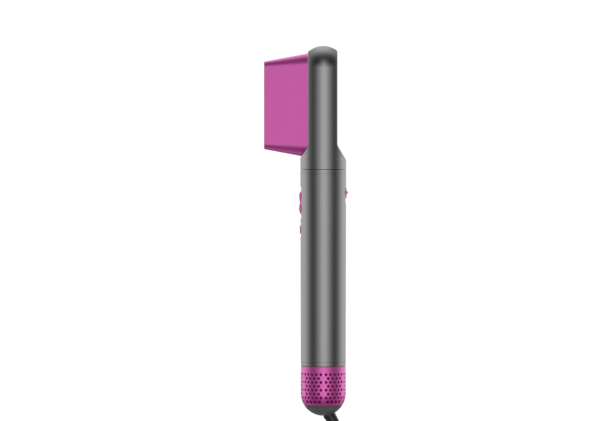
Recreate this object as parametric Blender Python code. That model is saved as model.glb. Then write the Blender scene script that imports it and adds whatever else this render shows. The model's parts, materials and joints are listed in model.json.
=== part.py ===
"""Hot air styler: handle with motor and heater, pull-off head with a flat drying nozzle, and a lead.

Sizes are in millimetres and become metres when a mesh is made. The handle's axis is Z, the nozzle
points to -X, and the origin is the middle of the grip.
"""

import math

import bmesh
import bpy
from mathutils import Matrix, Vector

MM = 0.001
GAP = 0.3
SHARP_EDGE = math.radians(32)
SIDES = 32
SMALL_SIDES = 20

# Handle
HANDLE_TOP = 93.1
HANDLE_BOTTOM = -92.8
TOP_RADIUS = 21.85
BOTTOM_RADIUS = 21.4
BORE_RADIUS = 19.55
COLLAR_HEIGHT = 3.6
COLLAR_BORE = 19.6
LOWER_RING_HEIGHT = 3.5

# Head
DOME_CENTRE = 189.15
HEAD_WALL = 1.8
NOZZLE_SIDE_X = -14.6
BACK_X = 13.4
RAMP_TOP = 118.75
RAMP_FILLET = 10.0
RAMP_ANGLE = math.radians(32)
RAMP_RUN = 12.0

# Nozzle
TIP_X = -56.2
TIP_HALF_HEIGHT = 41.65
TIP_HALF_THICKNESS = 5.0
ROOT_HALF_THICKNESS = 11.0
NOZZLE_MIDDLE = 154.45
NOZZLE_FLARE = 0.187
NOZZLE_WALL = 1.3
RIB_HALF_THICKNESS = 0.4
VANE_HALF_THICKNESS = 0.5

# Coupling
SOCKET_RADIUS = 17.6
SOCKET_WALL = 1.7
SLEEVE_WALL = 1.7
SLEEVE_TOP = 101.5
LATCH_TOP = 99.5

# Controls
POCKET_X = 20.6
BEYOND_SHELL = 26.0
WINDOW_HALF_WIDTH = 2.3
STEM_HALF_WIDTH = 1.9
MODE_MIDDLE = 62.0
MODE_LENGTH = 21.7
MODE_TRAVEL = 4.3
MODE_HALF_WIDTH = 5.3
# Height from the slide's middle, distance from the axis: two humps for the thumb with a dip between.
MODE_CREST = (
    (-10.85, 21.7),
    (-9.6, 22.15),
    (-8.3, 22.8),
    (-7.1, 23.05),
    (-5.0, 22.9),
    (-2.0, 22.4),
    (0.7, 22.2),
    (3.2, 22.4),
    (5.8, 22.85),
    (7.8, 23.05),
    (9.0, 22.8),
    (10.0, 22.25),
    (10.85, 21.7),
)
COOL_HEIGHT = 36.6
COOL_RADIUS = 4.1
RELEASE_LOW = 66.0
RELEASE_HIGH = 77.0
RELEASE_TRAVEL = 4.5
SPRING_RADIUS = 1.3
SPRING_X = 16.2
SPRING_LOW = 50.6
SPRING_HIGH = 61.4
SPRING_TURNS = 5
SPRING_STEPS = 8
SPRING_WIRE = 0.25

# Heater
HEATER_RADIUS = 12.8
HEATER_LOW = 1.8
HEATER_HIGH = 84.0
COIL_TURNS = 8
COIL_STEPS = 12
ELEMENT_RADIUS = 11.35
ELEMENT_LOW = 6.0
ELEMENT_LENGTH = 70.0
WIRE_RADIUS = 0.35

# Motor and fan
MOTOR_RADIUS = 13.2
MOTOR_LOW = -72.0
MOTOR_HIGH = -43.5
SHAFT_RADIUS = 1.5
STATOR_TEETH = 9
FAN_LOW = -86.0
FAN_HIGH = -74.5
FAN_RADIUS = 15.2
FAN_BLADES = 9
FAN_TWIST = math.radians(34)

# Filter cage, end cap and swivel
CAGE_TOP = -93.1
CAGE_CENTRE = -119.0
CAGE_BOTTOM = -130.2
CAGE_WALL = 1.5
PANELS = 6
SLOTS_A_PANEL = 3
SWIVEL_OPENING = 12.7

# Lead
CORD_RADIUS = 3.5
LEAD_ANGLE = math.radians(30)
LEAD_PIVOT = -129.5
RELIEF_START = 9.9
RELIEF_END = 52.0
COIL_CENTRE = (-20.5, 0.0)
COIL_INNER = 24.5
COIL_OUTER = 56.0
COIL_LOW = -275.0
COIL_HIGH = -261.0
PLUG_DIRECTION = (0.866, -0.5)
PLUG_START = (-41.8, -15.1, -252.7)
PLUG_RELIEF_LENGTH = 18.0
PLUG_LENGTH = 30.0
PLUG_ROUNDING = 0.6
PLUG_SIDES = 20
PIN_LENGTH = 17.0
PIN_SPREAD = 6.35
PIN_HALF_THICKNESS = 0.75
PIN_HALF_WIDTH = 3.1
TIE_THICKNESS = 0.6
TIE_HALF_WIDTH = 5.0

LEAD_ROUTE = (
    (26.2, 0.0, -174.8),
    (29.7, 0.0, -180.9),
    (33.0, 0.0, -187.3),
    (35.9, 0.0, -194.6),
    (38.2, 0.0, -202.6),
    (39.6, 0.0, -211.2),
    (40.0, 0.0, -219.6),
    (40.0, 0.1, -227.5),
    (38.9, 2.0, -238.8),
    (35.7, 7.5, -248.4),
    (30.9, 15.9, -254.8),
    (25.2, 25.9, -257.1),
    (16.6, 37.1, -257.1),
    (5.8, 45.5, -257.1),
    (-6.9, 50.7, -257.1),
    (-20.5, 52.5, -257.1),
)
TAIL_ROUTE = (
    (-35.1, 40.0, -257.1),
    (-41.8, 36.9, -256.8),
    (-49.8, 30.2, -255.8),
    (-55.0, 21.2, -254.5),
    (-56.8, 10.9, -253.3),
    (-55.0, 0.6, -252.8),
    (-49.8, -8.4, -252.7),
    (-42.1, -14.9, -252.7),
)

# Colour, roughness, metallic
FINISHES = {
    "grey_shell": ((0.30, 0.30, 0.31), 0.32, 0.85),
    "magenta_shell": ((0.62, 0.06, 0.30), 0.30, 0.55),
    "dark_plastic": ((0.035, 0.035, 0.037), 0.45, 0.0),
    "soft_rubber": ((0.018, 0.018, 0.018), 0.7, 0.0),
    "filter_wire": ((0.16, 0.02, 0.10), 0.4, 0.9),
    "natural_plastic": ((0.55, 0.54, 0.5), 0.5, 0.0),
    "steel": ((0.5, 0.5, 0.51), 0.3, 1.0),
    "copper": ((0.75, 0.33, 0.16), 0.35, 1.0),
    "heating_wire": ((0.33, 0.3, 0.27), 0.4, 1.0),
    "mica": ((0.62, 0.55, 0.4), 0.5, 0.0),
    "circuit_board": ((0.02, 0.16, 0.07), 0.5, 0.0),
    "magnet": ((0.09, 0.09, 0.1), 0.5, 0.8),
}


def clear_scene():
    for obj in list(bpy.data.objects):
        bpy.data.objects.remove(obj)


def make_finishes():
    for name, (colour, roughness, metallic) in FINISHES.items():
        material = bpy.data.materials.new(name)
        material.use_nodes = True
        shader = material.node_tree.nodes["Principled BSDF"]
        shader.inputs["Base Color"].default_value = (*colour, 1.0)
        shader.inputs["Roughness"].default_value = roughness
        shader.inputs["Metallic"].default_value = metallic


def add_mesh(name, bm, finish, helper=False):
    """Turns a bmesh in millimetres into an object in metres."""
    bmesh.ops.remove_doubles(bm, verts=bm.verts, dist=0.0001)
    bmesh.ops.recalc_face_normals(bm, faces=bm.faces)
    bmesh.ops.scale(bm, vec=(MM, MM, MM), verts=bm.verts)
    mesh = bpy.data.meshes.new(name)
    bm.to_mesh(mesh)
    bm.free()
    mesh.shade_smooth()
    mesh.set_sharp_from_angle(angle=SHARP_EDGE)
    obj = bpy.data.objects.new(name, mesh)
    bpy.context.scene.collection.objects.link(obj)
    if helper:
        obj.hide_render = True
        obj.display_type = "WIRE"
    else:
        mesh.materials.append(bpy.data.materials[finish])
    return obj


def cutter(name, bm):
    return add_mesh(name + "_cutter", bm, None, helper=True)


def combine(obj, other, operation="DIFFERENCE"):
    modifier = obj.modifiers.new(other.name, "BOOLEAN")
    modifier.object = other
    modifier.operation = operation
    return obj


def place(obj, location=(0, 0, 0), rotation=(0, 0, 0)):
    obj.location = Vector(location) * MM
    obj.rotation_euler = rotation
    return obj


def turned(outline, sides=SIDES):
    """Spins an outline of (radius, height) points about Z. Clear of the axis, it makes a ring."""
    bm = bmesh.new()
    points = [bm.verts.new((radius, 0, height)) for radius, height in outline]
    edges = [bm.edges.new(pair) for pair in zip(points, points[1:])]
    if all(radius > 0 for radius, height in outline):
        edges.append(bm.edges.new((points[-1], points[0])))
    bmesh.ops.spin(
        bm, geom=points + edges, cent=(0, 0, 0), axis=(0, 0, 1), angle=math.tau, steps=sides
    )
    return bm


def tube(inner, outer, low, high, sides=SIDES):
    return turned([(outer, low), (outer, high), (inner, high), (inner, low)], sides)


def rod(radius, low, high, sides=SMALL_SIDES):
    return turned([(0, low), (radius, low), (radius, high), (0, high)], sides)


def block(low, high):
    bm = bmesh.new()
    size = Vector(high) - Vector(low)
    middle = (Vector(high) + Vector(low)) / 2
    matrix = Matrix.Translation(middle) @ Matrix.Diagonal((*size, 1))
    bmesh.ops.create_cube(bm, size=1.0, matrix=matrix)
    return bm


def rectangle(left, right, low, high, margin):
    """The corners of a rectangle grown by the margin on every side."""
    left, right, low, high = left - margin, right + margin, low - margin, high + margin
    return [(left, low), (right, low), (right, high), (left, high)]


def prism(outline, low, high, along):
    """Extrudes an outline: (x, z) points along Y, or (x, y) points along Z."""
    bm = bmesh.new()
    if along == "Y":
        points = [bm.verts.new((u, low, v)) for u, v in outline]
        step = Vector((0, high - low, 0))
    else:
        points = [bm.verts.new((u, v, low)) for u, v in outline]
        step = Vector((0, 0, high - low))
    face = bm.faces.new(points)
    grown = bmesh.ops.extrude_face_region(bm, geom=[face])["geom"]
    top = [item for item in grown if isinstance(item, bmesh.types.BMVert)]
    bmesh.ops.translate(bm, vec=step, verts=top)
    return bm


def loft(sections):
    """Joins sections of equal point counts with quads and closes both ends."""
    bm = bmesh.new()
    rings = [[bm.verts.new(point) for point in section] for section in sections]
    for one, two in zip(rings, rings[1:]):
        for i in range(len(one)):
            j = (i + 1) % len(one)
            bm.faces.new((one[i], one[j], two[j], two[i]))
    bm.faces.new(rings[0])
    bm.faces.new(rings[-1])
    return bm


def star(count, valley, tip, half_root, half_tip, turn=0.0):
    """The outline of a hub of radius valley with count blades out to radius tip."""
    points = []
    for i in range(count):
        middle = turn + math.tau * i / count
        for radius, angle in (
            (valley, middle - half_root),
            (tip, middle - half_tip),
            (tip, middle + half_tip),
            (valley, middle + half_root),
        ):
            points.append((radius * math.cos(angle), radius * math.sin(angle)))
    return points


def sectors(count, inner, outer, half_angle, low, high, turn=0.0):
    """Count wedge-shaped blocks about Z, as one mesh of separate bodies."""
    bm = bmesh.new()
    for i in range(count):
        middle = turn + math.tau * i / count
        corners = [
            (radius * math.cos(middle + side), radius * math.sin(middle + side))
            for radius, side in (
                (inner, -half_angle),
                (outer, -half_angle),
                (outer, half_angle),
                (inner, half_angle),
            )
        ]
        floor = [bm.verts.new((x, y, low)) for x, y in corners]
        roof = [bm.verts.new((x, y, high)) for x, y in corners]
        bm.faces.new(floor[::-1])
        bm.faces.new(roof)
        for a in range(4):
            b = (a + 1) % 4
            bm.faces.new((floor[a], floor[b], roof[b], roof[a]))
    return bm


def arc(centre, radius, start, end, steps):
    """Points (radius from the axis or x, height) on a circle, angles in degrees from level."""
    points = []
    for i in range(steps + 1):
        angle = math.radians(start + (end - start) * i / steps)
        points.append((centre[0] + radius * math.cos(angle), centre[1] + radius * math.sin(angle)))
    return points


def sphere_angle(radius, at_radius):
    """How many degrees below level a sphere of this radius has come in to at_radius."""
    return -math.degrees(math.acos(at_radius / radius))


def wire(name, points, radius, finish, fineness):
    """A round tube along the points. Fineness 0 gives it four sides, and each step up two more."""
    curve = bpy.data.curves.new(name, "CURVE")
    curve.dimensions = "3D"
    curve.bevel_depth = radius * MM
    curve.bevel_resolution = fineness
    curve.use_fill_caps = True
    spline = curve.splines.new("POLY")
    spline.points.add(len(points) - 1)
    for held, point in zip(spline.points, points):
        held.co = (*(Vector(point) * MM), 1.0)
    curve.materials.append(bpy.data.materials[finish])
    obj = bpy.data.objects.new(name, curve)
    bpy.context.scene.collection.objects.link(obj)
    return obj


def winding(radius, low, high, turns, steps):
    """Points on a helix about Z, with this many steps a turn."""
    points = []
    for i in range(turns * steps + 1):
        angle = math.tau * i / steps
        height = low + (high - low) * i / (turns * steps)
        points.append((radius * math.cos(angle), radius * math.sin(angle), height))
    return points


def head_profile(left, right, drop, reach):
    """The head's side view, (x, z): two flats, each with a ramp out to the full width below."""
    side = []
    bend = arc((0, 0), RAMP_FILLET, 0, -math.degrees(RAMP_ANGLE), 4)
    for x, z in bend:
        side.append((RAMP_FILLET - x, RAMP_TOP - drop + z))
    out_x, out_z = side[-1]
    side.append((out_x + RAMP_RUN, out_z - RAMP_RUN / math.tan(RAMP_ANGLE)))
    low = HANDLE_TOP - reach
    right_side = [(right + x, z) for x, z in side]
    left_side = [(left - x, z) for x, z in side]
    top = DOME_CENTRE + TOP_RADIUS + 4
    return (
        [(left, top), *left_side, (left_side[-1][0], low), (right_side[-1][0], low)]
        + right_side[::-1]
        + [(right, top)]
    )


def capsule(radius, low):
    dome = arc((0, DOME_CENTRE), radius, 0, 90, 7)[:-1]
    return turned([(0, low), (radius, low), *dome, (0, DOME_CENTRE + radius)])


def nozzle_section(x, inset, steps=5):
    """A slot shape with fully rounded ends, square to X."""
    along = (x - TIP_X) / (NOZZLE_SIDE_X - TIP_X)
    thick = TIP_HALF_THICKNESS + (ROOT_HALF_THICKNESS - TIP_HALF_THICKNESS) * along - inset
    tall = TIP_HALF_HEIGHT + NOZZLE_FLARE * (x - TIP_X) - inset
    points = []
    for middle, start in ((tall - thick, 0), (thick - tall, 180)):
        for y, z in arc((0, middle), thick, start, start + 180, steps):
            points.append((x, y, NOZZLE_MIDDLE + z))
    return points


def make_head():
    shell = add_mesh("head_shell", capsule(TOP_RADIUS, HANDLE_TOP + GAP), "grey_shell")
    profile = head_profile(NOZZLE_SIDE_X, BACK_X, 0, 2)
    outer = cutter("head_outer", prism(profile, -30, 30, "Y"))
    combine(shell, outer, "INTERSECT")
    hollow = cutter("head_hollow", capsule(TOP_RADIUS - HEAD_WALL, HANDLE_TOP - 3))
    profile = head_profile(NOZZLE_SIDE_X + HEAD_WALL, BACK_X - HEAD_WALL, 1, 6)
    inner = cutter("head_inner", prism(profile, -32, 32, "Y"))
    combine(hollow, inner, "INTERSECT")
    combine(shell, hollow)
    inside = NOZZLE_SIDE_X + HEAD_WALL + 0.4
    passage = [nozzle_section(x, NOZZLE_WALL) for x in (TIP_X - 2, inside)]
    combine(shell, cutter("air_passage", loft(passage)))


def make_nozzle():
    outer = [nozzle_section(x, 0) for x in (TIP_X, NOZZLE_SIDE_X + 2)]
    nozzle = add_mesh("nozzle", loft(outer), "magenta_shell")
    inner = [nozzle_section(x, NOZZLE_WALL) for x in (TIP_X - 4, NOZZLE_SIDE_X + 4)]
    combine(nozzle, cutter("nozzle_bore", loft(inner)))
    profile = head_profile(NOZZLE_SIDE_X - GAP, BACK_X, 0, 4)
    combine(nozzle, cutter("nozzle_root", prism(profile, -34, 34, "Y")))
    half_tip, half_root = 4.7, 8.3
    plan = [(-46, -half_tip), (-19, -half_root), (-19, half_root), (-46, half_tip)]
    for i, height in enumerate((-14, 14)):
        low = NOZZLE_MIDDLE + height - RIB_HALF_THICKNESS
        high = NOZZLE_MIDDLE + height + RIB_HALF_THICKNESS
        add_mesh(f"nozzle_rib_{i + 1}", prism(plan, low, high, "Z"), "magenta_shell")


def make_turning_vanes():
    for i, (radius, low) in enumerate(((10, 120), (16, 150))):
        outer = arc((-12.4, low), radius + VANE_HALF_THICKNESS, 0, 80, 6)
        inner = arc((-12.4, low), radius - VANE_HALF_THICKNESS, 0, 80, 6)
        add_mesh(f"turning_vane_{i + 1}", prism(outer + inner[::-1], -12, 12, "Y"), "natural_plastic")


def make_coupling():
    inner = SOCKET_RADIUS + GAP
    sleeve = add_mesh(
        "coupling_sleeve",
        tube(inner, inner + SLEEVE_WALL, HANDLE_TOP + GAP, SLEEVE_TOP),
        "dark_plastic",
    )
    slot = block((12, -4.6, HANDLE_TOP - 2), (BEYOND_SHELL, 4.6, LATCH_TOP + 1))
    combine(sleeve, cutter("latch_slot", slot))
    bore = SOCKET_RADIUS - SOCKET_WALL
    groove = SOCKET_RADIUS - 0.9
    ring = [
        (bore, 85.0),
        (19.2, 85.0),
        (19.2, 87.4),
        (SOCKET_RADIUS, 87.4),
        (SOCKET_RADIUS, 94.0),
        (groove, 94.0),
        (groove, 96.4),
        (SOCKET_RADIUS, 96.4),
        (SOCKET_RADIUS, 103.0),
        (bore, 103.0),
    ]
    socket = add_mesh("socket_ring", turned(ring, 24), "natural_plastic")
    notch = block((SOCKET_RADIUS, -3.2, 84), (BEYOND_SHELL, 3.2, 88))
    combine(socket, cutter("latch_notch", notch))
    add_mesh("socket_seal", tube(groove + GAP, SOCKET_RADIUS + 0.1, 94.4, 96.0, 24), "soft_rubber")


def make_handle_shell():
    top = HANDLE_TOP - COLLAR_HEIGHT - GAP
    bottom = HANDLE_BOTTOM + LOWER_RING_HEIGHT + GAP
    outline = [(BOTTOM_RADIUS, bottom), (TOP_RADIUS, top), (BORE_RADIUS, top), (BORE_RADIUS, bottom)]
    shell = add_mesh("handle_shell", turned(outline), "grey_shell")
    mode_low = MODE_MIDDLE - MODE_LENGTH / 2 - MODE_TRAVEL - GAP
    mode_high = MODE_MIDDLE + MODE_LENGTH / 2 + MODE_TRAVEL + GAP
    half = MODE_HALF_WIDTH + GAP
    pocket = block((-BEYOND_SHELL, -half, mode_low), (-POCKET_X, half, mode_high))
    combine(shell, cutter("mode_pocket", pocket))
    reach = 2 + MODE_TRAVEL + GAP
    window = block(
        (-BEYOND_SHELL, -WINDOW_HALF_WIDTH, MODE_MIDDLE - reach),
        (-15, WINDOW_HALF_WIDTH, MODE_MIDDLE + reach),
    )
    combine(shell, cutter("mode_window", window))
    combine(shell, cutter("cool_pocket", block((-BEYOND_SHELL, -5.4, 29.4), (-21.3, 5.4, 43.2))))
    hole = cutter("cool_hole", rod(COOL_RADIUS + GAP, -28, -14))
    place(hole, (0, 0, COOL_HEIGHT), (0, math.pi / 2, 0))
    combine(shell, hole)
    low = RELEASE_LOW - RELEASE_TRAVEL - GAP
    pocket = block((POCKET_X, -half, low), (BEYOND_SHELL, half, RELEASE_HIGH + GAP))
    combine(shell, cutter("release_pocket", pocket))
    window = block((15, -WINDOW_HALF_WIDTH, 65.7), (BEYOND_SHELL, WINDOW_HALF_WIDTH, 75.8))
    combine(shell, cutter("release_window", window))


def make_handle_rings():
    collar = tube(COLLAR_BORE, TOP_RADIUS, HANDLE_TOP - COLLAR_HEIGHT, HANDLE_TOP)
    add_mesh("coupling_collar", collar, "grey_shell")
    low, high = HANDLE_BOTTOM, HANDLE_BOTTOM + LOWER_RING_HEIGHT
    ring = [
        (BOTTOM_RADIUS, high),
        (BOTTOM_RADIUS, low),
        (19.4, low),
        (19.4, -98.0),
        (18.2, -98.0),
        (18.2, -95.1),
        (15.4, -95.1),
        (15.4, -93.6),
        (18.2, -93.6),
        (18.2, high),
    ]
    lower = add_mesh("lower_ring", turned(ring), "grey_shell")
    combine(lower, cutter("lug_holes", screw_holes(-96.5, -92.5)))


def screw_holes(low, high):
    return sectors(3, 15.9, 17.3, math.radians(2.6), low, high, math.radians(30))


def make_mode_slider():
    back = POCKET_X + GAP
    low, high = MODE_CREST[0][0], MODE_CREST[-1][0]
    outline = [(-back, MODE_MIDDLE + low)]
    outline += [(-x, MODE_MIDDLE + offset) for offset, x in MODE_CREST]
    outline.append((-back, MODE_MIDDLE + high))
    thumb = prism(outline, -MODE_HALF_WIDTH, MODE_HALF_WIDTH, "Y")
    thumb = add_mesh("mode_thumb", thumb, "magenta_shell")
    stem = block(
        (-back - 0.5, -STEM_HALF_WIDTH, MODE_MIDDLE - 2), (-19.0, STEM_HALF_WIDTH, MODE_MIDDLE + 2)
    )
    combine(thumb, cutter("mode_stem", stem), "UNION")
    lever = block((-18.7, -1.5, MODE_MIDDLE - 1.5), (-17.6, 1.5, MODE_MIDDLE + 1.5))
    add_mesh("switch_lever", lever, "dark_plastic")


def make_cool_button():
    outline = [
        (0, 17.5),
        (5.0, 17.5),
        (5.0, 18.5),
        (COOL_RADIUS, 18.5),
        (COOL_RADIUS, 21.9),
        (3.4, 22.2),
        (0, 22.35),
    ]
    button = add_mesh("cool_button", turned(outline, SMALL_SIDES), "magenta_shell")
    place(button, (0, 0, COOL_HEIGHT), (0, -math.pi / 2, 0))


def make_release():
    back = POCKET_X + GAP
    outline = [
        (back, RELEASE_LOW),
        (22.0, RELEASE_LOW + 0.5),
        (22.2, 70.6),
        (23.7, 71.3),
        (23.7, 71.9),
        (22.3, 72.6),
        (22.0, RELEASE_HIGH - 0.5),
        (back, RELEASE_HIGH),
    ]
    thumb = prism(outline, -MODE_HALF_WIDTH, MODE_HALF_WIDTH, "Y")
    thumb = add_mesh("release_thumb", thumb, "magenta_shell")
    stem = block((19.4, -STEM_HALF_WIDTH, 70.5), (back + 0.5, STEM_HALF_WIDTH, 75.5))
    combine(thumb, cutter("release_stem", stem), "UNION")
    arm = [
        (14.6, 62.0),
        (19.1, 62.0),
        (19.1, LATCH_TOP),
        (17.95, LATCH_TOP),
        (17.95, 63.4),
        (14.6, 63.4),
    ]
    latch = add_mesh("release_latch", prism(arm, -2.5, 2.5, "Y"), "natural_plastic")
    combine(latch, cutter("latch_head", block((17.95, -3.9, 97.0), (18.9, 3.9, LATCH_TOP))), "UNION")
    guide = [
        (13.5, 48.5),
        (18.6, 48.5),
        (18.6, 50.0),
        (14.2, 50.0),
        (14.2, 67.5),
        (17.6, 67.5),
        (17.6, 80.0),
        (13.5, 80.0),
    ]
    add_mesh("release_guide", prism(guide, -3.6, 3.6, "Y"), "natural_plastic")
    helix = winding(SPRING_RADIUS, SPRING_LOW, SPRING_HIGH, SPRING_TURNS, SPRING_STEPS)
    helix = [(SPRING_X + x, y, z) for x, y, z in helix]
    wire("release_spring", helix, SPRING_WIRE, "steel", 0)


def make_switches():
    add_mesh("switch_board", block((-14.9, -7.4, 26.0), (-13.7, 7.4, 82.0)), "circuit_board")
    add_mesh("slide_switch", block((-17.3, -2.6, 52.0), (-15.2, 2.6, 72.0)), "dark_plastic")
    add_mesh("cool_switch", block((-15.9, -3.0, 33.6), (-15.2, 3.0, 39.6)), "dark_plastic")


def make_heater():
    sleeve = tube(HEATER_RADIUS - 0.6, HEATER_RADIUS, HEATER_LOW, HEATER_HIGH)
    add_mesh("heater_sleeve", sleeve, "mica")
    reach, half = 10.6, 0.45
    cross = []
    for x, y in ((1, 1), (-1, 1), (-1, -1), (1, -1)):
        corner = [(x * reach, y * half), (x * half, y * half), (x * half, y * reach)]
        cross += corner if x * y > 0 else corner[::-1]
    add_mesh("heater_frame", prism(cross, 3.0, 79.0, "Z"), "mica")
    high = ELEMENT_LOW + ELEMENT_LENGTH
    helix = winding(ELEMENT_RADIUS, ELEMENT_LOW, high, COIL_TURNS, COIL_STEPS)
    wire("heater_coil", helix, WIRE_RADIUS, "heating_wire", 0)
    add_mesh("thermostat", rod(4.0, 79.3, 83.0), "steel")
    place(add_mesh("thermal_fuse", rod(1.2, 30, 40, 12), "steel"), (4.5, 4.5, 0))
    spokes = star(6, 13.4, 19.1, math.radians(7), math.radians(4.5), math.radians(30))
    carrier = add_mesh("heater_carrier", prism(spokes, -1.5, 1.5, "Z"), "natural_plastic")
    combine(carrier, cutter("carrier_bore", rod(11.8, -3, 3, SIDES)))


def make_electronics():
    add_mesh("main_board", block((-0.8, -12.0, -37.0), (0.8, 12.0, -4.0)), "circuit_board")
    place(add_mesh("capacitor", rod(4.5, -34, -16), "dark_plastic"), (5.7, 0, 0))
    add_mesh("motor_board", tube(3.0, 12.5, -42.0, -40.6, 24), "circuit_board")


def make_motor():
    seat = 4.3
    can = [
        (seat, MOTOR_LOW),
        (MOTOR_RADIUS, MOTOR_LOW),
        (MOTOR_RADIUS, MOTOR_HIGH),
        (seat, MOTOR_HIGH),
        (seat, MOTOR_HIGH - 1.3),
        (MOTOR_RADIUS - 1.2, MOTOR_HIGH - 1.3),
        (MOTOR_RADIUS - 1.2, MOTOR_LOW + 1.3),
        (seat, MOTOR_LOW + 1.3),
    ]
    add_mesh("motor_can", turned(can, 28), "steel")
    for name, low in (("lower_bearing", MOTOR_LOW), ("upper_bearing", MOTOR_HIGH - 3)):
        bearing = tube(SHAFT_RADIUS + GAP, 4.0, low, low + 3, SMALL_SIDES)
        add_mesh(name, bearing, "steel")
    core = add_mesh("stator_core", tube(6.2, 11.7, -64.0, -52.0), "steel")
    gaps = sectors(STATOR_TEETH, 4.0, 10.4, math.radians(13), -66, -50)
    combine(core, cutter("stator_gaps", gaps))
    for name, low, high in (("winding_upper", -51.7, -48.0), ("winding_lower", -68.0, -64.3)):
        middle = (low + high) / 2
        outline = [(7.0, middle), (7.9, low), (10.4, low)]
        outline += [(11.3, middle), (10.4, high), (7.9, high)]
        add_mesh(name, turned(outline, 24), "copper")
    vanes = star(8, 14.7, 19.1, math.radians(6), math.radians(3.5))
    carrier = add_mesh("motor_carrier", prism(vanes, -71.0, -58.0, "Z"), "natural_plastic")
    combine(carrier, cutter("motor_bore", rod(MOTOR_RADIUS + GAP, -73, -56, SIDES)))


def make_fan():
    add_mesh("motor_shaft", rod(SHAFT_RADIUS, -87.5, -44.5, 16), "steel")
    add_mesh("rotor_magnet", tube(SHAFT_RADIUS + GAP, 5.8, -63.5, -52.5, SMALL_SIDES), "magnet")
    sections = []
    levels = 4
    for i in range(levels + 1):
        share = i / levels
        turn = share * FAN_TWIST
        outline = star(FAN_BLADES, 5.0, FAN_RADIUS, math.radians(9), math.radians(2.4), turn)
        height = FAN_LOW + share * (FAN_HIGH - FAN_LOW)
        sections.append([(x, y, height) for x, y in outline])
    impeller = add_mesh("impeller", loft(sections), "dark_plastic")
    bore = rod(SHAFT_RADIUS + GAP, FAN_LOW - 2, FAN_HIGH + 2, 16)
    combine(impeller, cutter("impeller_bore", bore))


def make_intake():
    frame = add_mesh("intake_frame", tube(8.4, 17.8, -97.4, -95.4), "dark_plastic")
    openings = sectors(PANELS, 10.2, 15.0, math.radians(24), -99, -94, math.radians(60))
    combine(frame, cutter("intake_openings", openings))
    combine(frame, cutter("frame_holes", screw_holes(-99, -94)))
    add_mesh("core_tube", tube(8.4, 9.6, -131.9, -97.7, 28), "dark_plastic")
    screw = [(0, -98.9), (1.4, -98.9), (1.4, -97.7)]
    screw += [(0.5, -97.7), (0.5, -93.0), (0, -93.0)]
    for i in range(3):
        angle = math.radians(30 + 120 * i)
        obj = add_mesh(f"frame_screw_{i + 1}", turned(screw, 10), "steel")
        place(obj, (16.6 * math.cos(angle), 16.6 * math.sin(angle), 0))


def make_cage():
    inner = BOTTOM_RADIUS - CAGE_WALL
    depth = CAGE_CENTRE - CAGE_BOTTOM
    outer_end = sphere_angle(BOTTOM_RADIUS, math.sqrt(BOTTOM_RADIUS**2 - depth**2))
    inner_end = sphere_angle(inner, math.sqrt(inner**2 - depth**2))
    outline = [(BOTTOM_RADIUS, CAGE_TOP)]
    outline += arc((0, CAGE_CENTRE), BOTTOM_RADIUS, 0, outer_end, 5)
    outline += [*arc((0, CAGE_CENTRE), inner, inner_end, 0, 5), (inner, CAGE_TOP)]
    cage = add_mesh("filter_cage", turned(outline), "magenta_shell")
    for i in range(SLOTS_A_PANEL):
        turn = math.radians(-90 + 12 + 18 * i)
        slots = sectors(PANELS, 15.0, 24.0, math.radians(5), -128.0, -100.0, turn)
        combine(cage, cutter(f"cage_slots_{i + 1}", slots))
    radius = inner - 0.5
    low_end = sphere_angle(radius, 16.3)
    outline = [(radius, -98.4), *arc((0, CAGE_CENTRE), radius, 0, low_end, 4)]
    outline += [*arc((0, CAGE_CENTRE), radius - 0.5, low_end, 0, 4), (radius - 0.5, -98.4)]
    add_mesh("filter_mesh", turned(outline, 24), "filter_wire")


def make_end_cap():
    depth = CAGE_CENTRE - CAGE_BOTTOM + GAP
    start = sphere_angle(BOTTOM_RADIUS, math.sqrt(BOTTOM_RADIUS**2 - depth**2))
    end = sphere_angle(BOTTOM_RADIUS, SWIVEL_OPENING)
    outline = arc((0, CAGE_CENTRE), BOTTOM_RADIUS, start, end, 3)
    outline += [(10.6, -134.9), (10.6, -133.6), (6.0, -133.6), (6.0, -132.3)]
    outline += [(16.1, -132.3), (16.5, CAGE_BOTTOM - GAP)]
    add_mesh("end_cap", turned(outline, 24), "dark_plastic")


def make_swivel():
    start = sphere_angle(BOTTOM_RADIUS, SWIVEL_OPENING - GAP)
    outline = arc((0, CAGE_CENTRE), BOTTOM_RADIUS, -90, start, 6)
    outline[0] = (0, CAGE_CENTRE - BOTTOM_RADIUS)
    outline += [(10.3, -135.15), (10.3, -133.9), (5.6, -133.9)]
    outline += [(5.6, -132.0), (4.6, -132.0), (4.6, -129.8), (0, -129.8)]
    dome = add_mesh("swivel_dome", turned(outline, 24), "dark_plastic")
    seat = cutter("relief_seat", rod(6.2, RELIEF_START - GAP, 30, 24))
    place(seat, (0, 0, LEAD_PIVOT), (0, math.pi - LEAD_ANGLE, 0))
    combine(dome, seat)
    add_mesh("swivel_retainer", tube(4.9, 8.0, -131.9, -130.6, 24), "steel")
    relief = [
        (0, RELIEF_START),
        (5.9, RELIEF_START),
        (5.9, 12.6),
        (5.5, 13.4),
        (5.2, 24.0),
        (4.6, RELIEF_END),
        (0, RELIEF_END),
    ]
    boot = add_mesh("strain_relief", turned(relief, 24), "soft_rubber")
    place(boot, (0, 0, LEAD_PIVOT), (0, math.pi - LEAD_ANGLE, 0))


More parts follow.
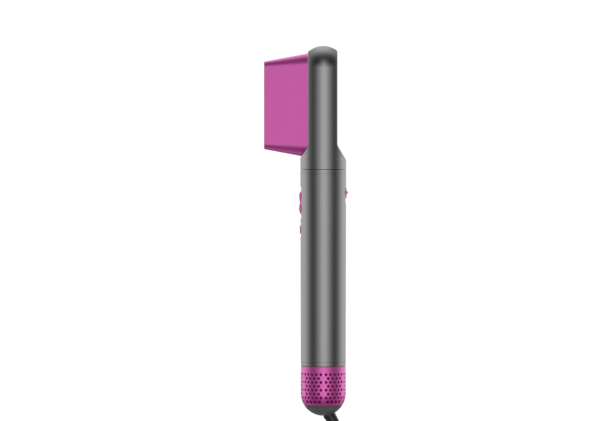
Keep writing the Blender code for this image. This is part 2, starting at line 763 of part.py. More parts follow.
def make_cord():
    wire("cord_lead", LEAD_ROUTE, CORD_RADIUS, "soft_rubber", 2)
    wire("cord_tail", TAIL_ROUTE, CORD_RADIUS, "soft_rubber", 2)
    bevel = 2.5
    outline = [
        (COIL_INNER + bevel, COIL_LOW),
        (COIL_OUTER - bevel, COIL_LOW),
        (COIL_OUTER, COIL_LOW + bevel),
        (COIL_OUTER, COIL_HIGH - bevel),
        (COIL_OUTER - bevel, COIL_HIGH),
        (COIL_INNER + bevel, COIL_HIGH),
        (COIL_INNER, COIL_HIGH - bevel),
        (COIL_INNER, COIL_LOW + bevel),
    ]
    place(add_mesh("cord_coil", turned(outline), "soft_rubber"), (*COIL_CENTRE, 0))


def make_tie():
    """A band round one side of the coil, let in by the coil's curve so that it clears it."""
    half = TIE_HALF_WIDTH
    bulge = COIL_INNER - math.sqrt(COIL_INNER**2 - half**2)
    inner, outer = COIL_INNER - bulge - GAP, COIL_OUTER + GAP
    low, high = COIL_LOW - GAP, COIL_HIGH + GAP
    band = prism(rectangle(inner, outer, low, high, TIE_THICKNESS), -half, half, "Y")
    tie = place(add_mesh("cord_tie", band, "soft_rubber"), (*COIL_CENTRE, 0))
    hole = prism(rectangle(inner, outer, low, high, 0), -half - 1, half + 1, "Y")
    combine(tie, place(cutter("tie_opening", hole), (*COIL_CENTRE, 0)))


def squared_ring(x, half_width, half_height):
    """A section square to X, between an ellipse and a rectangle."""
    points = []
    for i in range(PLUG_SIDES):
        angle = math.tau * (i + 0.5) / PLUG_SIDES
        across, up = math.cos(angle), math.sin(angle)
        y = half_width * math.copysign(abs(across) ** PLUG_ROUNDING, across)
        z = half_height * math.copysign(abs(up) ** PLUG_ROUNDING, up)
        points.append((x, y, z))
    return points


def make_plug():
    """The plug lies on the coil. It is modelled along its own X axis and turned to its direction."""
    frame = bpy.data.objects.new("plug_frame", None)
    bpy.context.scene.collection.objects.link(frame)
    angle = math.atan2(PLUG_DIRECTION[1], PLUG_DIRECTION[0])
    place(frame, PLUG_START, (0, 0, angle))
    relief_end = PLUG_RELIEF_LENGTH - GAP
    relief = turned([(0, 0), (4.4, 0), (5.2, relief_end), (0, relief_end)], 16)
    boot = place(add_mesh("plug_relief", relief, "soft_rubber"), (GAP, 0, 0), (0, math.pi / 2, 0))
    start, end = PLUG_RELIEF_LENGTH + GAP, PLUG_RELIEF_LENGTH + PLUG_LENGTH
    sections = [
        squared_ring(start, 6.5, 6.0),
        squared_ring(start + 5, 8.6, 7.2),
        squared_ring(end - 8, 11.0, 7.8),
        squared_ring(end, 11.5, 7.8),
    ]
    pieces = [boot, add_mesh("plug_body", loft(sections), "soft_rubber")]
    for name, side in (("plug_pin_left", PIN_SPREAD), ("plug_pin_right", -PIN_SPREAD)):
        low = (end + GAP, side - PIN_HALF_THICKNESS, -PIN_HALF_WIDTH)
        high = (end + PIN_LENGTH, side + PIN_HALF_THICKNESS, PIN_HALF_WIDTH)
        pieces.append(add_mesh(name, block(low, high), "steel"))
    for piece in pieces:
        piece.parent = frame


def main():
    clear_scene()
    make_finishes()
    make_head()
    make_nozzle()
    make_turning_vanes()
    make_coupling()
    make_handle_shell()
    make_handle_rings()
    make_mode_slider()
    make_cool_button()
    make_release()
    make_switches()
    make_heater()
    make_electronics()
    make_motor()
    make_fan()
    make_intake()
    make_cage()
    make_end_cap()
    make_swivel()
    make_cord()
    make_tie()
    make_plug()


main()
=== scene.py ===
"""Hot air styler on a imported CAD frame: shells, nozzle, controls, perforated cage, lead and inner parts.

Lengths are in metres. The handle's axis is Z, the nozzle points to -X and the controls' side view is
seen from -Y. Every piece is made in place, with its object at the origin.
"""

import json
import math

import bmesh
import bpy
import numpy as np
from bpy.props import FloatProperty, FloatVectorProperty, IntProperty, PointerProperty
from mathutils import Matrix, Vector


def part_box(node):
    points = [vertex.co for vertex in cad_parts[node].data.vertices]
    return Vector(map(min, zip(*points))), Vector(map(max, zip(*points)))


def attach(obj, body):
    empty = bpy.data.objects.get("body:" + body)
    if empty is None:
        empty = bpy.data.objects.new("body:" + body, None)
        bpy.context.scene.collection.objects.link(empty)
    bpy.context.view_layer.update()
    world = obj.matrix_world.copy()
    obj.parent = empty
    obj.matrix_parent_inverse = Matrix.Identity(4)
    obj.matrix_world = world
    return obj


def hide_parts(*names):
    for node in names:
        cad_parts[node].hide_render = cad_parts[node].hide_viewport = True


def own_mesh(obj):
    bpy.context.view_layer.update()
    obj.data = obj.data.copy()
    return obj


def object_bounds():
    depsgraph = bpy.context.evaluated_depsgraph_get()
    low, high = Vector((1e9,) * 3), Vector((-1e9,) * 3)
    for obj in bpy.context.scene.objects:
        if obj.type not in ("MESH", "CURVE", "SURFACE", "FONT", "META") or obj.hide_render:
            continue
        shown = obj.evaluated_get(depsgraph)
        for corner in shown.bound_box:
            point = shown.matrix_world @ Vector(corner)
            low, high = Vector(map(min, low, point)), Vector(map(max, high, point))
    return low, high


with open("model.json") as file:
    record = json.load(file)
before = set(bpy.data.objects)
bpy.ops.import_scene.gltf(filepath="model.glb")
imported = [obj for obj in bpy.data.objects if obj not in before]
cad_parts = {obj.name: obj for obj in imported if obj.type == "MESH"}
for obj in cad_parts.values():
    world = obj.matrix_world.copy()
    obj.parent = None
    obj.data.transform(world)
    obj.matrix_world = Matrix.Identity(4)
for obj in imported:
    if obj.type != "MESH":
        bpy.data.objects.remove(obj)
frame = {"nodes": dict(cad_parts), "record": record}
CAD_BOX = [list(corner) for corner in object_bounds()]

bl_info = {
    "name": "Hot air styler",
    "version": (1, 0, 0),
    "blender": (4, 5, 0),
    "location": "View3D > Sidebar > Styler",
    "description": "Builds the finished surfaces of a hot air styler around its CAD frame",
    "category": "Add Mesh",
}

MM = 0.001
ROUND_SIDES = 128
SMALL_SIDES = 64
SHARP = math.radians(30)
# Points that fall together, and faces close enough to a turned surface to take its normals
MERGE = 0.002 * MM
NEAR_AXIS = 1e-6
SAME_WAY = 0.97
# The gap left between two turned shells, and the finest rounding on their edges
SHELL_GAP = 0.05 * MM
FINE_EDGE = 0.06 * MM

# The turned body, taken from the frame
HEAD_LOW, HEAD_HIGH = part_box("head_shell")
SHELL_LOW, SHELL_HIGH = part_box("handle_shell")
COLLAR_LOW, COLLAR_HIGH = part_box("coupling_collar")
RING_LOW, RING_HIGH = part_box("lower_ring")
CAGE_LOW, CAGE_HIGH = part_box("filter_cage")
NOZZLE_LOW, NOZZLE_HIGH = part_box("nozzle")
TOP_RADIUS = 21.85 * MM
LOW_RADIUS = 21.4 * MM
BORE = 19.55 * MM
COLLAR_BORE = 19.6 * MM
DOME_CENTRE = HEAD_HIGH.z - TOP_RADIUS
BACK_FLAT = 13.4 * MM
FRONT_FLAT = 14.6 * MM
RAMP_TOP = 118.75 * MM
RAMP_FILLET = 10 * MM
RAMP_ANGLE = math.radians(32)
HEAD_WALL = 1.8 * MM
NOZZLE_MIDDLE = 154.45 * MM
NOZZLE_WALL = 1.3 * MM
# Half the nozzle's thickness and height at its tip, and how much each grows along it
TIP_THICK = 5.0 * MM
ROOT_THICK = 11.0 * MM
TIP_TALL = 41.65 * MM
TALL_GROWTH = 0.187
NOZZLE_GAP = 0.12 * MM
CAGE_CENTRE = -119 * MM
CAGE_WALL = 1.5 * MM
FIRST_ROW = 18.65 * MM
SWIVEL_RADIUS = 12.7 * MM
CAP_GAP = 0.3 * MM

# The controls: how deep the pockets go, the windows under them and the moving pieces
POCKET = 20.6 * MM
POCKET_MOUTH = 26 * MM
POCKET_CORNER = 2.0 * MM
WINDOW_HALF = 2.3 * MM
THUMB_HALF = 5.3 * MM
THUMB_REST = 0.3 * MM
STEM_HALF = 1.9 * MM
COOL_HEIGHT = 36.6 * MM
COOL_RADIUS = 4.1 * MM
COOL_BORE = 4.4 * MM
COOL_FLANGE = 5.0 * MM
SPRING_WIRE = 0.25 * MM

# The coupling between the head and the handle
SOCKET_BORE = 15.9 * MM
SOCKET_SEAT = 17.6 * MM
SEAL_SEAT = 16.7 * MM
SEAL_GROOVE = (94.0 * MM, 96.4 * MM)
SOCKET_FOOT_TOP = 87.4 * MM
SLEEVE_BORE = 17.9 * MM
JACKET_WALL = 0.6 * MM

# The lower ring's inner steps, and the lugs' screw holes
RING_BAND = 3.5 * MM
RING_SKIRT = 19.4 * MM
RING_BORE = 18.2 * MM
LUG_BORE = 15.4 * MM
LUG_HEIGHTS = (-95.1 * MM, -93.6 * MM)
SKIRT_LOW = -98.0 * MM
LUG_CIRCLE = 16.6 * MM
LUG_HOLE = 0.7 * MM
LUGS = 3

LEAD_PIVOT = Vector((0.0, 0.0, -129.5 * MM))
LEAD_ANGLE = math.radians(30)

# The lead's way from the strain relief down to the coil, and from the coil to the plug
LEAD_ROUTE = (
    (26.0, 0.0, -174.5), (29.7, 0.0, -180.9), (33.0, 0.0, -187.3), (35.9, 0.0, -194.6),
    (38.2, 0.0, -202.6), (39.6, 0.0, -211.2), (40.0, 0.0, -219.6), (40.0, 0.1, -227.5),
    (38.9, 2.0, -238.8), (35.7, 7.5, -248.4), (30.9, 15.9, -254.8), (25.2, 25.9, -257.1),
    (16.6, 37.1, -257.1), (5.8, 45.5, -257.1), (-6.9, 50.7, -257.1),
)
TAIL_ROUTE = (
    (-35.1, 40.0, -257.1), (-41.8, 36.9, -256.8), (-49.8, 30.2, -255.8), (-55.0, 21.2, -254.5),
    (-56.8, 10.9, -253.3), (-55.0, 0.6, -252.8), (-49.8, -8.4, -252.7), (-42.1, -14.9, -252.7),
)
COIL_CENTRE = Vector((-20.5, 0.0, 0.0)) * MM
CORD_TOP = -257.1 * MM
TURN_PITCH = 7 * MM
UPPER_TURN = -264.5 * MM
LOWER_TURN = -271.5 * MM
OUTER_TURN = 52.5 * MM
INNER_TURN = 28 * MM
PLUG_START = Vector((-41.8, -15.1, -252.7)) * MM
PLUG_TURN = math.atan2(-0.5, 0.866)


# ---------------------------------------------------------------- settings


def length_setting(name, description, default, low, high):
    """A length setting, given in millimetres."""
    return FloatProperty(
        name=name,
        description=description,
        default=default * MM,
        min=low * MM,
        max=high * MM,
        subtype="DISTANCE",
        unit="LENGTH",
    )


def count_setting(name, description, default, low, high):
    return IntProperty(name=name, description=description, default=default, min=low, max=high)


def colour_setting(name, description, default):
    return FloatVectorProperty(
        name=name,
        description=description,
        subtype="COLOR",
        default=default,
        min=0.0,
        max=1.0,
    )


class StylerBody(bpy.types.PropertyGroup):
    edge: length_setting(
        "Edge softness", "How far the edges of the head's flats are rounded", 0.9, 0.1, 2
    )
    seam: length_setting("Seam chamfer", "Chamfer where two turned shells meet", 0.17, 0.05, 1)
    nozzle_lip: length_setting("Nozzle lip", "Rounding of the nozzle's rim", 0.45, 0.05, 0.6)


class StylerCage(bpy.types.PropertyGroup):
    panels: count_setting("Panels", "Fields of holes round the cage", 6, 3, 12)
    rows: count_setting("Rows", "Rows of holes from the band down to the cap", 8, 2, 10)
    hole: length_setting("Hole", "Radius of a hole at the outside of the cage", 1.3, 0.5, 2)
    pitch: length_setting("Row pitch", "Distance between two rows along the surface", 3.68, 2, 6)
    step: FloatProperty(
        name="Column pitch",
        description="Angle between two holes of a row",
        default=math.radians(11.7),
        min=math.radians(5),
        max=math.radians(20),
        subtype="ANGLE",
        unit="ROTATION",
    )
    wire: length_setting("Filter wire", "Radius of the filter's wire", 0.16, 0.05, 0.24)


class StylerLead(bpy.types.PropertyGroup):
    diameter: length_setting("Lead diameter", "Outside diameter of the mains lead", 7, 5, 7)
    ribs: count_setting("Relief grooves", "Grooves along the strain relief", 6, 2, 10)
    grip: count_setting("Plug grooves", "Grip grooves across the plug", 5, 2, 8)


class StylerColours(bpy.types.PropertyGroup):
    grey: colour_setting(
        "Grey shell",
        "Satin metallic paint of the head and the handle",
        (0.36, 0.36, 0.365),
    )
    magenta: colour_setting(
        "Magenta shell",
        "Satin metallic paint of the nozzle, the cage and the controls",
        (1.0, 0.125, 0.61),
    )
    dark: colour_setting(
        "Dark plastic",
        "Moulded plastic of the end cap, the swivel and the inner parts",
        (0.13, 0.13, 0.132),
    )
    rubber: colour_setting(
        "Rubber",
        "Sheath of the lead, its strain reliefs and the plug",
        (0.022, 0.022, 0.022),
    )


class StylerStage(bpy.types.PropertyGroup):
    floor: FloatProperty(
        name="Floor",
        description="Radius of the pale floor",
        default=1.9,
        min=0.5,
        max=5.0,
        subtype="DISTANCE",
        unit="LENGTH",
    )
    light: FloatProperty(
        name="Studio light",
        description="Strength of the soft light all round",
        default=1.0,
        min=0.1,
        max=4.0,
    )
    lens: FloatProperty(
        name="Lens",
        description="Focal length of the camera in millimetres",
        default=200.0,
        min=35.0,
        max=400.0,
    )


# ---------------------------------------------------------------- node graphs


class Value:
    """A node's output that takes part in sums as a number does."""

    def __init__(self, graph, socket):
        self.graph = graph
        self.socket = socket

    def other(self, name):
        return Value(self.graph, self.socket.node.outputs[name])

    def __add__(self, other):
        return self.graph.maths("ADD", self, other)

    def __radd__(self, other):
        return self.graph.maths("ADD", other, self)

    def __sub__(self, other):
        return self.graph.maths("SUBTRACT", self, other)

    def __rsub__(self, other):
        return self.graph.maths("SUBTRACT", other, self)

    def __mul__(self, other):
        return self.graph.maths("MULTIPLY", self, other)

    def __rmul__(self, other):
        return self.graph.maths("MULTIPLY", other, self)

    def __truediv__(self, other):
        return self.graph.maths("DIVIDE", self, other)

    def __rtruediv__(self, other):
        return self.graph.maths("DIVIDE", other, self)

    def __mod__(self, other):
        return self.graph.maths("MODULO", self, other)


class Graph:
    """A node tree that grows as expressions on it are written."""

    def __init__(self, tree):
        self.tree = tree

    def node(self, kind, settings, inputs, output=0, stops=()):
        """A new node with these settings and inputs, as the value of one of its outputs."""
        made = self.tree.nodes.new(kind)
        for key, value in settings.items():
            setattr(made, key, value)
        if stops:
            self.set_stops(made.color_ramp.elements, stops)
        for key, value in inputs.items():
            if isinstance(value, Value):
                self.tree.links.new(value.socket, made.inputs[key])
            else:
                made.inputs[key].default_value = value
        return Value(self, made.outputs[output]) if made.outputs else None

    @staticmethod
    def set_stops(elements, stops):
        while len(elements) < len(stops):
            elements.new(1.0)
        for element, (position, colour) in zip(elements, stops):
            element.position = position
            element.color = (*colour, 1.0) if isinstance(colour, tuple) else (colour, colour, colour, 1.0)

    def maths(self, operation, *values):
        return self.node("ShaderNodeMath", {"operation": operation}, dict(enumerate(values)))

    def limit(self, value, low, high):
        return self.maths("MINIMUM", self.maths("MAXIMUM", value, low), high)

    def blend(self, factor, one, two):
        """Mixes two colours."""
        values = {0: factor, 6: padded(one), 7: padded(two)}
        return self.node("ShaderNodeMix", {"data_type": "RGBA"}, values, 2)


def padded(colour):
    return colour if isinstance(colour, Value) else (*colour, 1.0)


def shade(colour, amount):
    return tuple(min(1.0, part * amount) for part in colour)


class Finish(Graph):
    """One material with a Principled shader, read in the object's own coordinates."""

    def __init__(self, name):
        self.material = bpy.data.materials.new(name)
        self.material.use_nodes = True
        super().__init__(self.material.node_tree)
        self.shader = self.tree.nodes["Principled BSDF"]
        self.at = self.node("ShaderNodeTexCoord", {}, {}, "Object")

    def noise(self, size, detail=2.0, at=None, rough=0.5):
        """Soft noise, 0 to 1, with lumps of this size."""
        values = {"Vector": at or self.at, "Scale": 1 / size, "Detail": detail, "Roughness": rough}
        return self.node("ShaderNodeTexNoise", {}, values, 0)

    def cells(self, size, feature="F1", output="Distance"):
        """Round cells of this size, by the distance to each one's middle or its own colour."""
        values = {"Vector": self.at, "Scale": 1 / size}
        return self.node("ShaderNodeTexVoronoi", {"feature": feature}, values, output)

    def stretched(self, scale):
        """Coordinates drawn out by a different scale on each axis."""
        values = {"Vector": self.at, "Scale": scale}
        return self.node("ShaderNodeMapping", {"vector_type": "POINT"}, values)

    def parts_of(self, vector):
        first = self.node("ShaderNodeSeparateXYZ", {}, {0: vector}, "X")
        return first, first.other("Y"), first.other("Z")

    def round_z(self):
        """The angle round Z."""
        x, y, _ = self.parts_of(self.at)
        return self.maths("ARCTAN2", y, x)

    def step(self, value, low, high):
        values = {"Value": value, "From Min": low, "From Max": high}
        return self.node("ShaderNodeMapRange", {"interpolation_type": "SMOOTHSTEP"}, values)

    def bump(self, height, strength, depth, under=None):
        values = {"Height": height, "Strength": strength, "Distance": depth}
        if under:
            values["Normal"] = under
        return self.node("ShaderNodeBump", {}, values)

    def feed(self, **values):
        names = {
            "colour": "Base Color",
            "roughness": "Roughness",
            "metallic": "Metallic",
            "normal": "Normal",
            "coat": "Coat Weight",
            "coat_roughness": "Coat Roughness",
            "coat_ior": "Coat IOR",
            "ior": "IOR",
        }
        for key, value in values.items():
            socket = self.shader.inputs[names[key]]
            if isinstance(value, Value):
                self.tree.links.new(value.socket, socket)
            else:
                socket.default_value = value
        return self.material


# ---------------------------------------------------------------- finishes


LACQUER_IOR = 1.75
RUBBER_IOR = 1.65
BOARD_GRID = 2.54 * MM
FLOOR_GLOW = 0.22


def metallic_paint(name, colour, roughness, metal=1.0, coat=0.0):
    """Satin lacquer with fine flakes, faint handling marks and a slightly uneven film."""
    finish = Finish(name)
    flakes = finish.cells(0.22 * MM, output="Color")
    flake = finish.node("ShaderNodeSeparateColor", {}, {0: flakes}, 0)
    film = finish.noise(9 * MM, 3.0)
    marks = finish.noise(1.0, 3.0, finish.stretched((90, 90, 900)))
    peel = finish.noise(0.9 * MM, 2.0)
    worn = finish.step(marks, 0.62, 0.74)
    tone = finish.blend(flake, shade(colour, 0.93), shade(colour, 1.07))
    tone = finish.blend(film * 0.5, tone, shade(colour, 1.05))
    tone = finish.blend(worn * 0.12, tone, shade(colour, 1.2))
    gloss = roughness + (film - 0.5) * 0.05 + (flake - 0.5) * 0.03 + worn * 0.04
    normal = finish.bump(peel, 0.05, 0.02 * MM)
    normal = finish.bump(flake, 0.02, 0.01 * MM, normal)
    return finish.feed(
        colour=tone,
        roughness=gloss,
        metallic=metal,
        coat=coat,
        coat_roughness=roughness,
        coat_ior=LACQUER_IOR,
        normal=normal,
    )


def moulded_plastic(name, colour, roughness, grain=0.28 * MM):
    """Moulded plastic with an even spark-eroded grain and slightly polished patches."""
    finish = Finish(name)
    texture = finish.noise(grain, 3.0, rough=0.6)
    patches = finish.noise(7 * MM, 3.0)
    pits = finish.cells(grain * 1.6)
    polish = finish.step(patches, 0.5, 0.7)
    tone = finish.blend(texture, shade(colour, 0.82), shade(colour, 1.2))
    tone = finish.blend(patches * 0.3, tone, shade(colour, 1.25))
    gloss = roughness + (texture - 0.5) * 0.12 - polish * 0.06
    normal = finish.bump(texture, 0.25, 0.05 * MM)
    normal = finish.bump(pits, 0.12, 0.03 * MM, normal)
    return finish.feed(colour=tone, roughness=gloss, normal=normal)


def rubber_sheath(name, colour):
    """Soft matte rubber with a fine drag grain and pale dust in it."""
    finish = Finish(name)
    grain = finish.noise(0.2 * MM, 3.0, rough=0.6)
    dust = finish.step(finish.noise(3.5 * MM, 4.0, rough=0.62), 0.52, 0.78)
    bloom = finish.noise(16 * MM, 2.0)
    tone = finish.blend(grain, shade(colour, 0.8), shade(colour, 1.3))
    tone = finish.blend(dust * 0.10, tone, (0.12, 0.115, 0.11))
    tone = finish.blend(bloom * 0.3, tone, shade(colour, 1.5))
    gloss = 0.33 + (grain - 0.5) * 0.12 + dust * 0.08
    normal = finish.bump(grain, 0.3, 0.05 * MM)
    return finish.feed(colour=tone, roughness=gloss, ior=RUBBER_IOR, normal=normal)


def drawn_wire(name, colour):
    """Dyed filter wire, its tone varying with a random tarnish."""
    finish = Finish(name)
    tarnish = finish.noise(1.6 * MM, 3.0)
    scale = finish.noise(0.15 * MM, 2.0)
    tone = finish.blend(tarnish, shade(colour, 0.6), shade(colour, 1.5))
    gloss = 0.34 + (scale - 0.5) * 0.2
    normal = finish.bump(scale, 0.3, 0.02 * MM)
    return finish.feed(colour=tone, roughness=gloss, metallic=0.35, normal=normal)


def turned_steel(name, colour):
    """Turned and ground steel, with fine rings round Z and a few stains."""
    finish = Finish(name)
    rings = finish.noise(1.0, 3.0, finish.stretched((300, 300, 9000)), 0.6)
    stains = finish.noise(5 * MM, 4.0)
    tone = finish.blend(rings, shade(colour, 0.85), shade(colour, 1.15))
    tone = finish.blend(finish.step(stains, 0.55, 0.8) * 0.25, tone, (0.33, 0.28, 0.22))
    gloss = 0.28 + (rings - 0.5) * 0.2 + (stains - 0.5) * 0.1
    normal = finish.bump(rings, 0.15, 0.02 * MM)
    return finish.feed(colour=tone, roughness=gloss, metallic=1.0, normal=normal)


def enamelled_copper(name, colour):
    """Close-wound enamelled wire, its turns running across the stator's teeth, with painted shade in the
    gaps between the turns.
    """
    finish = Finish(name)
    angle = finish.round_z()
    strands_with_gap_shade = finish.maths("SINE", angle * 150.0)
    lay = finish.noise(0.7 * MM, 2.0)
    relief = strands_with_gap_shade * 0.5 + 0.5
    # Painted shade: the gaps between the turns are darkened to a third of the copper colour, and the same
    # wave drives the bump.
    tone = finish.blend(relief, shade(colour, 0.35), colour)
    tone = finish.blend(lay * 0.4, tone, (0.42, 0.13, 0.05))
    gloss = 0.24 + lay * 0.2
    normal = finish.bump(relief, 0.6, 0.15 * MM)
    return finish.feed(colour=tone, roughness=gloss, metallic=0.9, coat=0.5, normal=normal)


def heating_wire(name, colour):
    """Resistance wire with straw and blue heat tints."""
    finish = Finish(name)
    heat = finish.noise(6 * MM, 3.0)
    scale = finish.noise(0.3 * MM, 2.0)
    straw, grey, blue = (0.30, 0.19, 0.09), (0.33, 0.30, 0.27), (0.16, 0.17, 0.27)
    stops = [(0.25, straw), (0.45, grey), (0.6, blue), (0.8, colour)]
    tone = finish.node("ShaderNodeValToRGB", {}, {0: heat}, stops=stops)
    gloss = 0.38 + (scale - 0.5) * 0.2
    normal = finish.bump(scale, 0.3, 0.03 * MM)
    return finish.feed(colour=tone, roughness=gloss, metallic=1.0, normal=normal)


def mica_sheet(name, colour):
    """Pressed mica: pale overlapping flakes with pearly patches."""
    finish = Finish(name)
    flakes = finish.cells(2.6 * MM, output="Color")
    flake = finish.node("ShaderNodeSeparateColor", {}, {0: flakes}, 0)
    edges = finish.cells(2.6 * MM, "DISTANCE_TO_EDGE")
    rim = finish.step(edges, 0.0, 0.08)
    haze = finish.noise(1.2 * MM, 3.0)
    tone = finish.blend(flake, shade(colour, 0.7), shade(colour, 1.15))
    tone = finish.blend(haze * 0.4, tone, (0.52, 0.40, 0.24))
    gloss = 0.3 + flake * 0.3 + (haze - 0.5) * 0.1
    height = flake * 0.6 + rim * 0.4
    return finish.feed(colour=tone, roughness=gloss, normal=finish.bump(height, 0.4, 0.08 * MM))


def printed_board(name, colour):
    """Green solder mask over copper tracks, with bare tinned pads."""
    finish = Finish(name)
    x, y, z = finish.parts_of(finish.at)
    lanes = finish.noise(1.0, 0.0, finish.stretched((200, 900, 120)))
    tracks = finish.step(finish.maths("SINE", lanes * 60.0), 0.1, 0.35)
    across = finish.maths("SINE", (y + x) * (math.tau / BOARD_GRID))
    along = finish.maths("SINE", z * (math.tau / BOARD_GRID))
    pads = finish.step(across * along, 0.72, 0.8) * finish.step(finish.noise(8 * MM, 0.0), 0.5, 0.54)
    glass = finish.noise(0.5 * MM, 2.0)
    tone = finish.blend(tracks, colour, shade(colour, 1.9))
    tone = finish.blend(glass * 0.25, tone, shade(colour, 0.6))
    tone = finish.blend(pads, tone, (0.62, 0.61, 0.57))
    gloss = 0.33 + (glass - 0.5) * 0.1
    height = tracks * 0.5 + pads * 0.5
    normal = finish.bump(height, 0.4, 0.06 * MM)
    return finish.feed(colour=tone, roughness=gloss, metallic=pads * 0.9, normal=normal)


def sintered_magnet(name, colour):
    """Sintered magnet: dark, granular, with ground tracks."""
    finish = Finish(name)
    grains = finish.cells(0.35 * MM)
    ground = finish.noise(1.0, 2.0, finish.stretched((200, 200, 5000)))
    tone = finish.blend(grains, shade(colour, 0.6), shade(colour, 1.6))
    gloss = 0.42 + (ground - 0.5) * 0.25
    normal = finish.bump(grains, 0.3, 0.04 * MM)
    return finish.feed(colour=tone, roughness=gloss, metallic=0.7, normal=normal)


def pale_floor(name, size):
    """A pale seamless sheet with a trace of unevenness, fading out at its edge."""
    finish = Finish(name)
    x, y, _ = finish.parts_of(finish.at)
    reach = finish.maths("SQRT", x * x + y * y) / size
    cloud = finish.noise(0.6, 3.0)
    grain = finish.noise(0.8 * MM, 2.0)
    tone = finish.blend(cloud, (0.84, 0.84, 0.84), (0.88, 0.88, 0.88))
    fade = 1 - finish.step(reach, 0.45, 0.98)
    finish.shader.inputs["Emission Color"].default_value = (1.0, 1.0, 1.0, 1.0)
    finish.shader.inputs["Emission Strength"].default_value = FLOOR_GLOW
    finish.tree.links.new(fade.socket, finish.shader.inputs["Alpha"])
    normal = finish.bump(grain, 0.05, 0.05 * MM)
    return finish.feed(colour=tone, roughness=0.75 + (grain - 0.5) * 0.1, normal=normal)


def slot_finish(slot):
    """The material of one of the record's slots, made the first time it is asked for."""
    colours = bpy.context.scene.styler_colours
    name, maker, values = {
        "grey_shell": ("satin_grey_lacquer", metallic_paint, (colours.grey, 0.2, 1.0)),
        "magenta_shell": ("satin_magenta_lacquer", metallic_paint, (colours.magenta, 0.22, 0.58, 0.7)),
        "dark_plastic": ("grained_dark_plastic", moulded_plastic, (colours.dark, 0.32)),
        "soft_rubber": ("rubber_sheath", rubber_sheath, (colours.rubber,)),
        "filter_wire": ("dyed_filter_wire", drawn_wire, ((0.75, 0.02, 0.42),)),
        "natural_plastic": ("natural_nylon", moulded_plastic, ((0.56, 0.55, 0.5), 0.42, 0.5 * MM)),
        "steel": ("turned_steel", turned_steel, ((0.55, 0.55, 0.56),)),
        "copper": ("enamelled_copper", enamelled_copper, ((0.75, 0.33, 0.14),)),
        "heating_wire": ("tinted_heating_wire", heating_wire, ((0.38, 0.34, 0.3),)),
        "mica": ("pressed_mica", mica_sheet, ((0.62, 0.55, 0.4),)),
        "circuit_board": ("printed_board", printed_board, ((0.015, 0.13, 0.05),)),
        "magnet": ("sintered_magnet", sintered_magnet, ((0.09, 0.09, 0.1),)),
    }[slot]
    found = bpy.data.materials.get(name)
    return found or maker(name, tuple(values[0]), *values[1:])


# ---------------------------------------------------------------- shapes


def new_piece(name, bm):
    """An object from a bmesh, with merged doubles and outward faces."""
    bmesh.ops.remove_doubles(bm, verts=bm.verts, dist=MERGE)
    bmesh.ops.recalc_face_normals(bm, faces=bm.faces)
    mesh = bpy.data.meshes.new(name)
    bm.to_mesh(mesh)
    bm.free()
    mesh.shade_smooth()
    mesh.set_sharp_from_angle(angle=SHARP)
    obj = bpy.data.objects.new(name, mesh)
    bpy.context.scene.collection.objects.link(obj)
    return obj


def settle(obj, smooth=True):
    """Turns the object's modifiers into a plain mesh, shaded smooth between its sharp edges."""
    graph = bpy.context.evaluated_depsgraph_get()
    graph.update()
    mesh = bpy.data.meshes.new_from_object(obj.evaluated_get(graph))
    obj.modifiers.clear()
    obj.data = mesh
    mesh.name = obj.name
    if smooth:
        mesh.shade_smooth()
        mesh.set_sharp_from_angle(angle=SHARP)
    return obj


def carve(obj, *cutters, how="DIFFERENCE"):
    """Cuts away the cutters' shapes, or joins them on, and removes them."""
    for other in cutters:
        modifier = obj.modifiers.new(other.name, "BOOLEAN")
        modifier.object = other
        modifier.operation = how
        modifier.solver = "MANIFOLD"
    settle(obj)
    for other in cutters:
        bpy.data.objects.remove(other)
    return obj


def soften(obj, width, segments=3):
    """Rounds the sharp edges and weights the normals to the larger faces."""
    bevel = obj.modifiers.new("edge", "BEVEL")
    bevel.width = width
    bevel.segments = segments
    bevel.limit_method = "ANGLE"
    bevel.angle_limit = SHARP
    return even_out(obj)


def even_out(obj):
    """Weights the normals, so that a flat stays flat beside a rounded edge."""
    normals = obj.modifiers.new("normals", "WEIGHTED_NORMAL")
    normals.keep_sharp = True
    normals.weight = 80
    return settle(obj, smooth=False)


def finish_piece(obj, slot, body, *nodes):
    """Gives a piece its finish, its body and the CAD nodes that it stands for."""
    mesh = obj.data
    mesh.materials.clear()
    mesh.materials.append(slot_finish(slot))
    if obj.type == "MESH":
        mesh.polygons.foreach_set("material_index", [0] * len(mesh.polygons))
    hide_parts(*nodes)
    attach(obj, body)
    return obj


def in_metres(*points):
    """Points given in millimetres."""
    return [(u * MM, v * MM) for u, v in points]


def rounded(outline, radius, steps=4, closed=True):
    """Rounds the corners of an outline of (u, v) points."""
    points = [Vector(p) for p in outline]
    made = []
    for i, here in enumerate(points):
        at_end = i in (0, len(points) - 1) and not closed
        if at_end:
            made.append(tuple(here))
            continue
        before = points[i - 1] - here
        after = points[(i + 1) % len(points)] - here
        if before.angle(after) > math.radians(168):
            made.append(tuple(here))
            continue
        reach = min(radius, before.length * 0.45, after.length * 0.45)
        start = here + before.normalized() * reach
        end = here + after.normalized() * reach
        made += [soft_corner(start, here, end, k / steps) for k in range(steps + 1)]
    return made


def soft_corner(start, corner, end, share):
    """A point on the soft curve from one point to another that a corner pulls out."""
    return tuple((1 - share) ** 2 * start + 2 * share * (1 - share) * corner + share * share * end)


def quarter(steps=5):
    """Shares along and across a rounded edge, from its side round to its face."""
    turns = [math.radians(90 * i / steps) for i in range(steps + 1)]
    return [(1 - math.sin(turn), 1 - math.cos(turn)) for turn in turns]


def arc(centre, radius, start, end, steps):
    """Points on a circle, from one angle to another in degrees."""
    points = []
    for i in range(steps + 1):
        angle = math.radians(start + (end - start) * i / steps)
        points.append((centre[0] + radius * math.cos(angle), centre[1] + radius * math.sin(angle)))
    return points


def fall(radius, at_radius):
    """How many degrees below level a sphere has come in to a smaller radius."""
    return -math.degrees(math.acos(at_radius / radius))


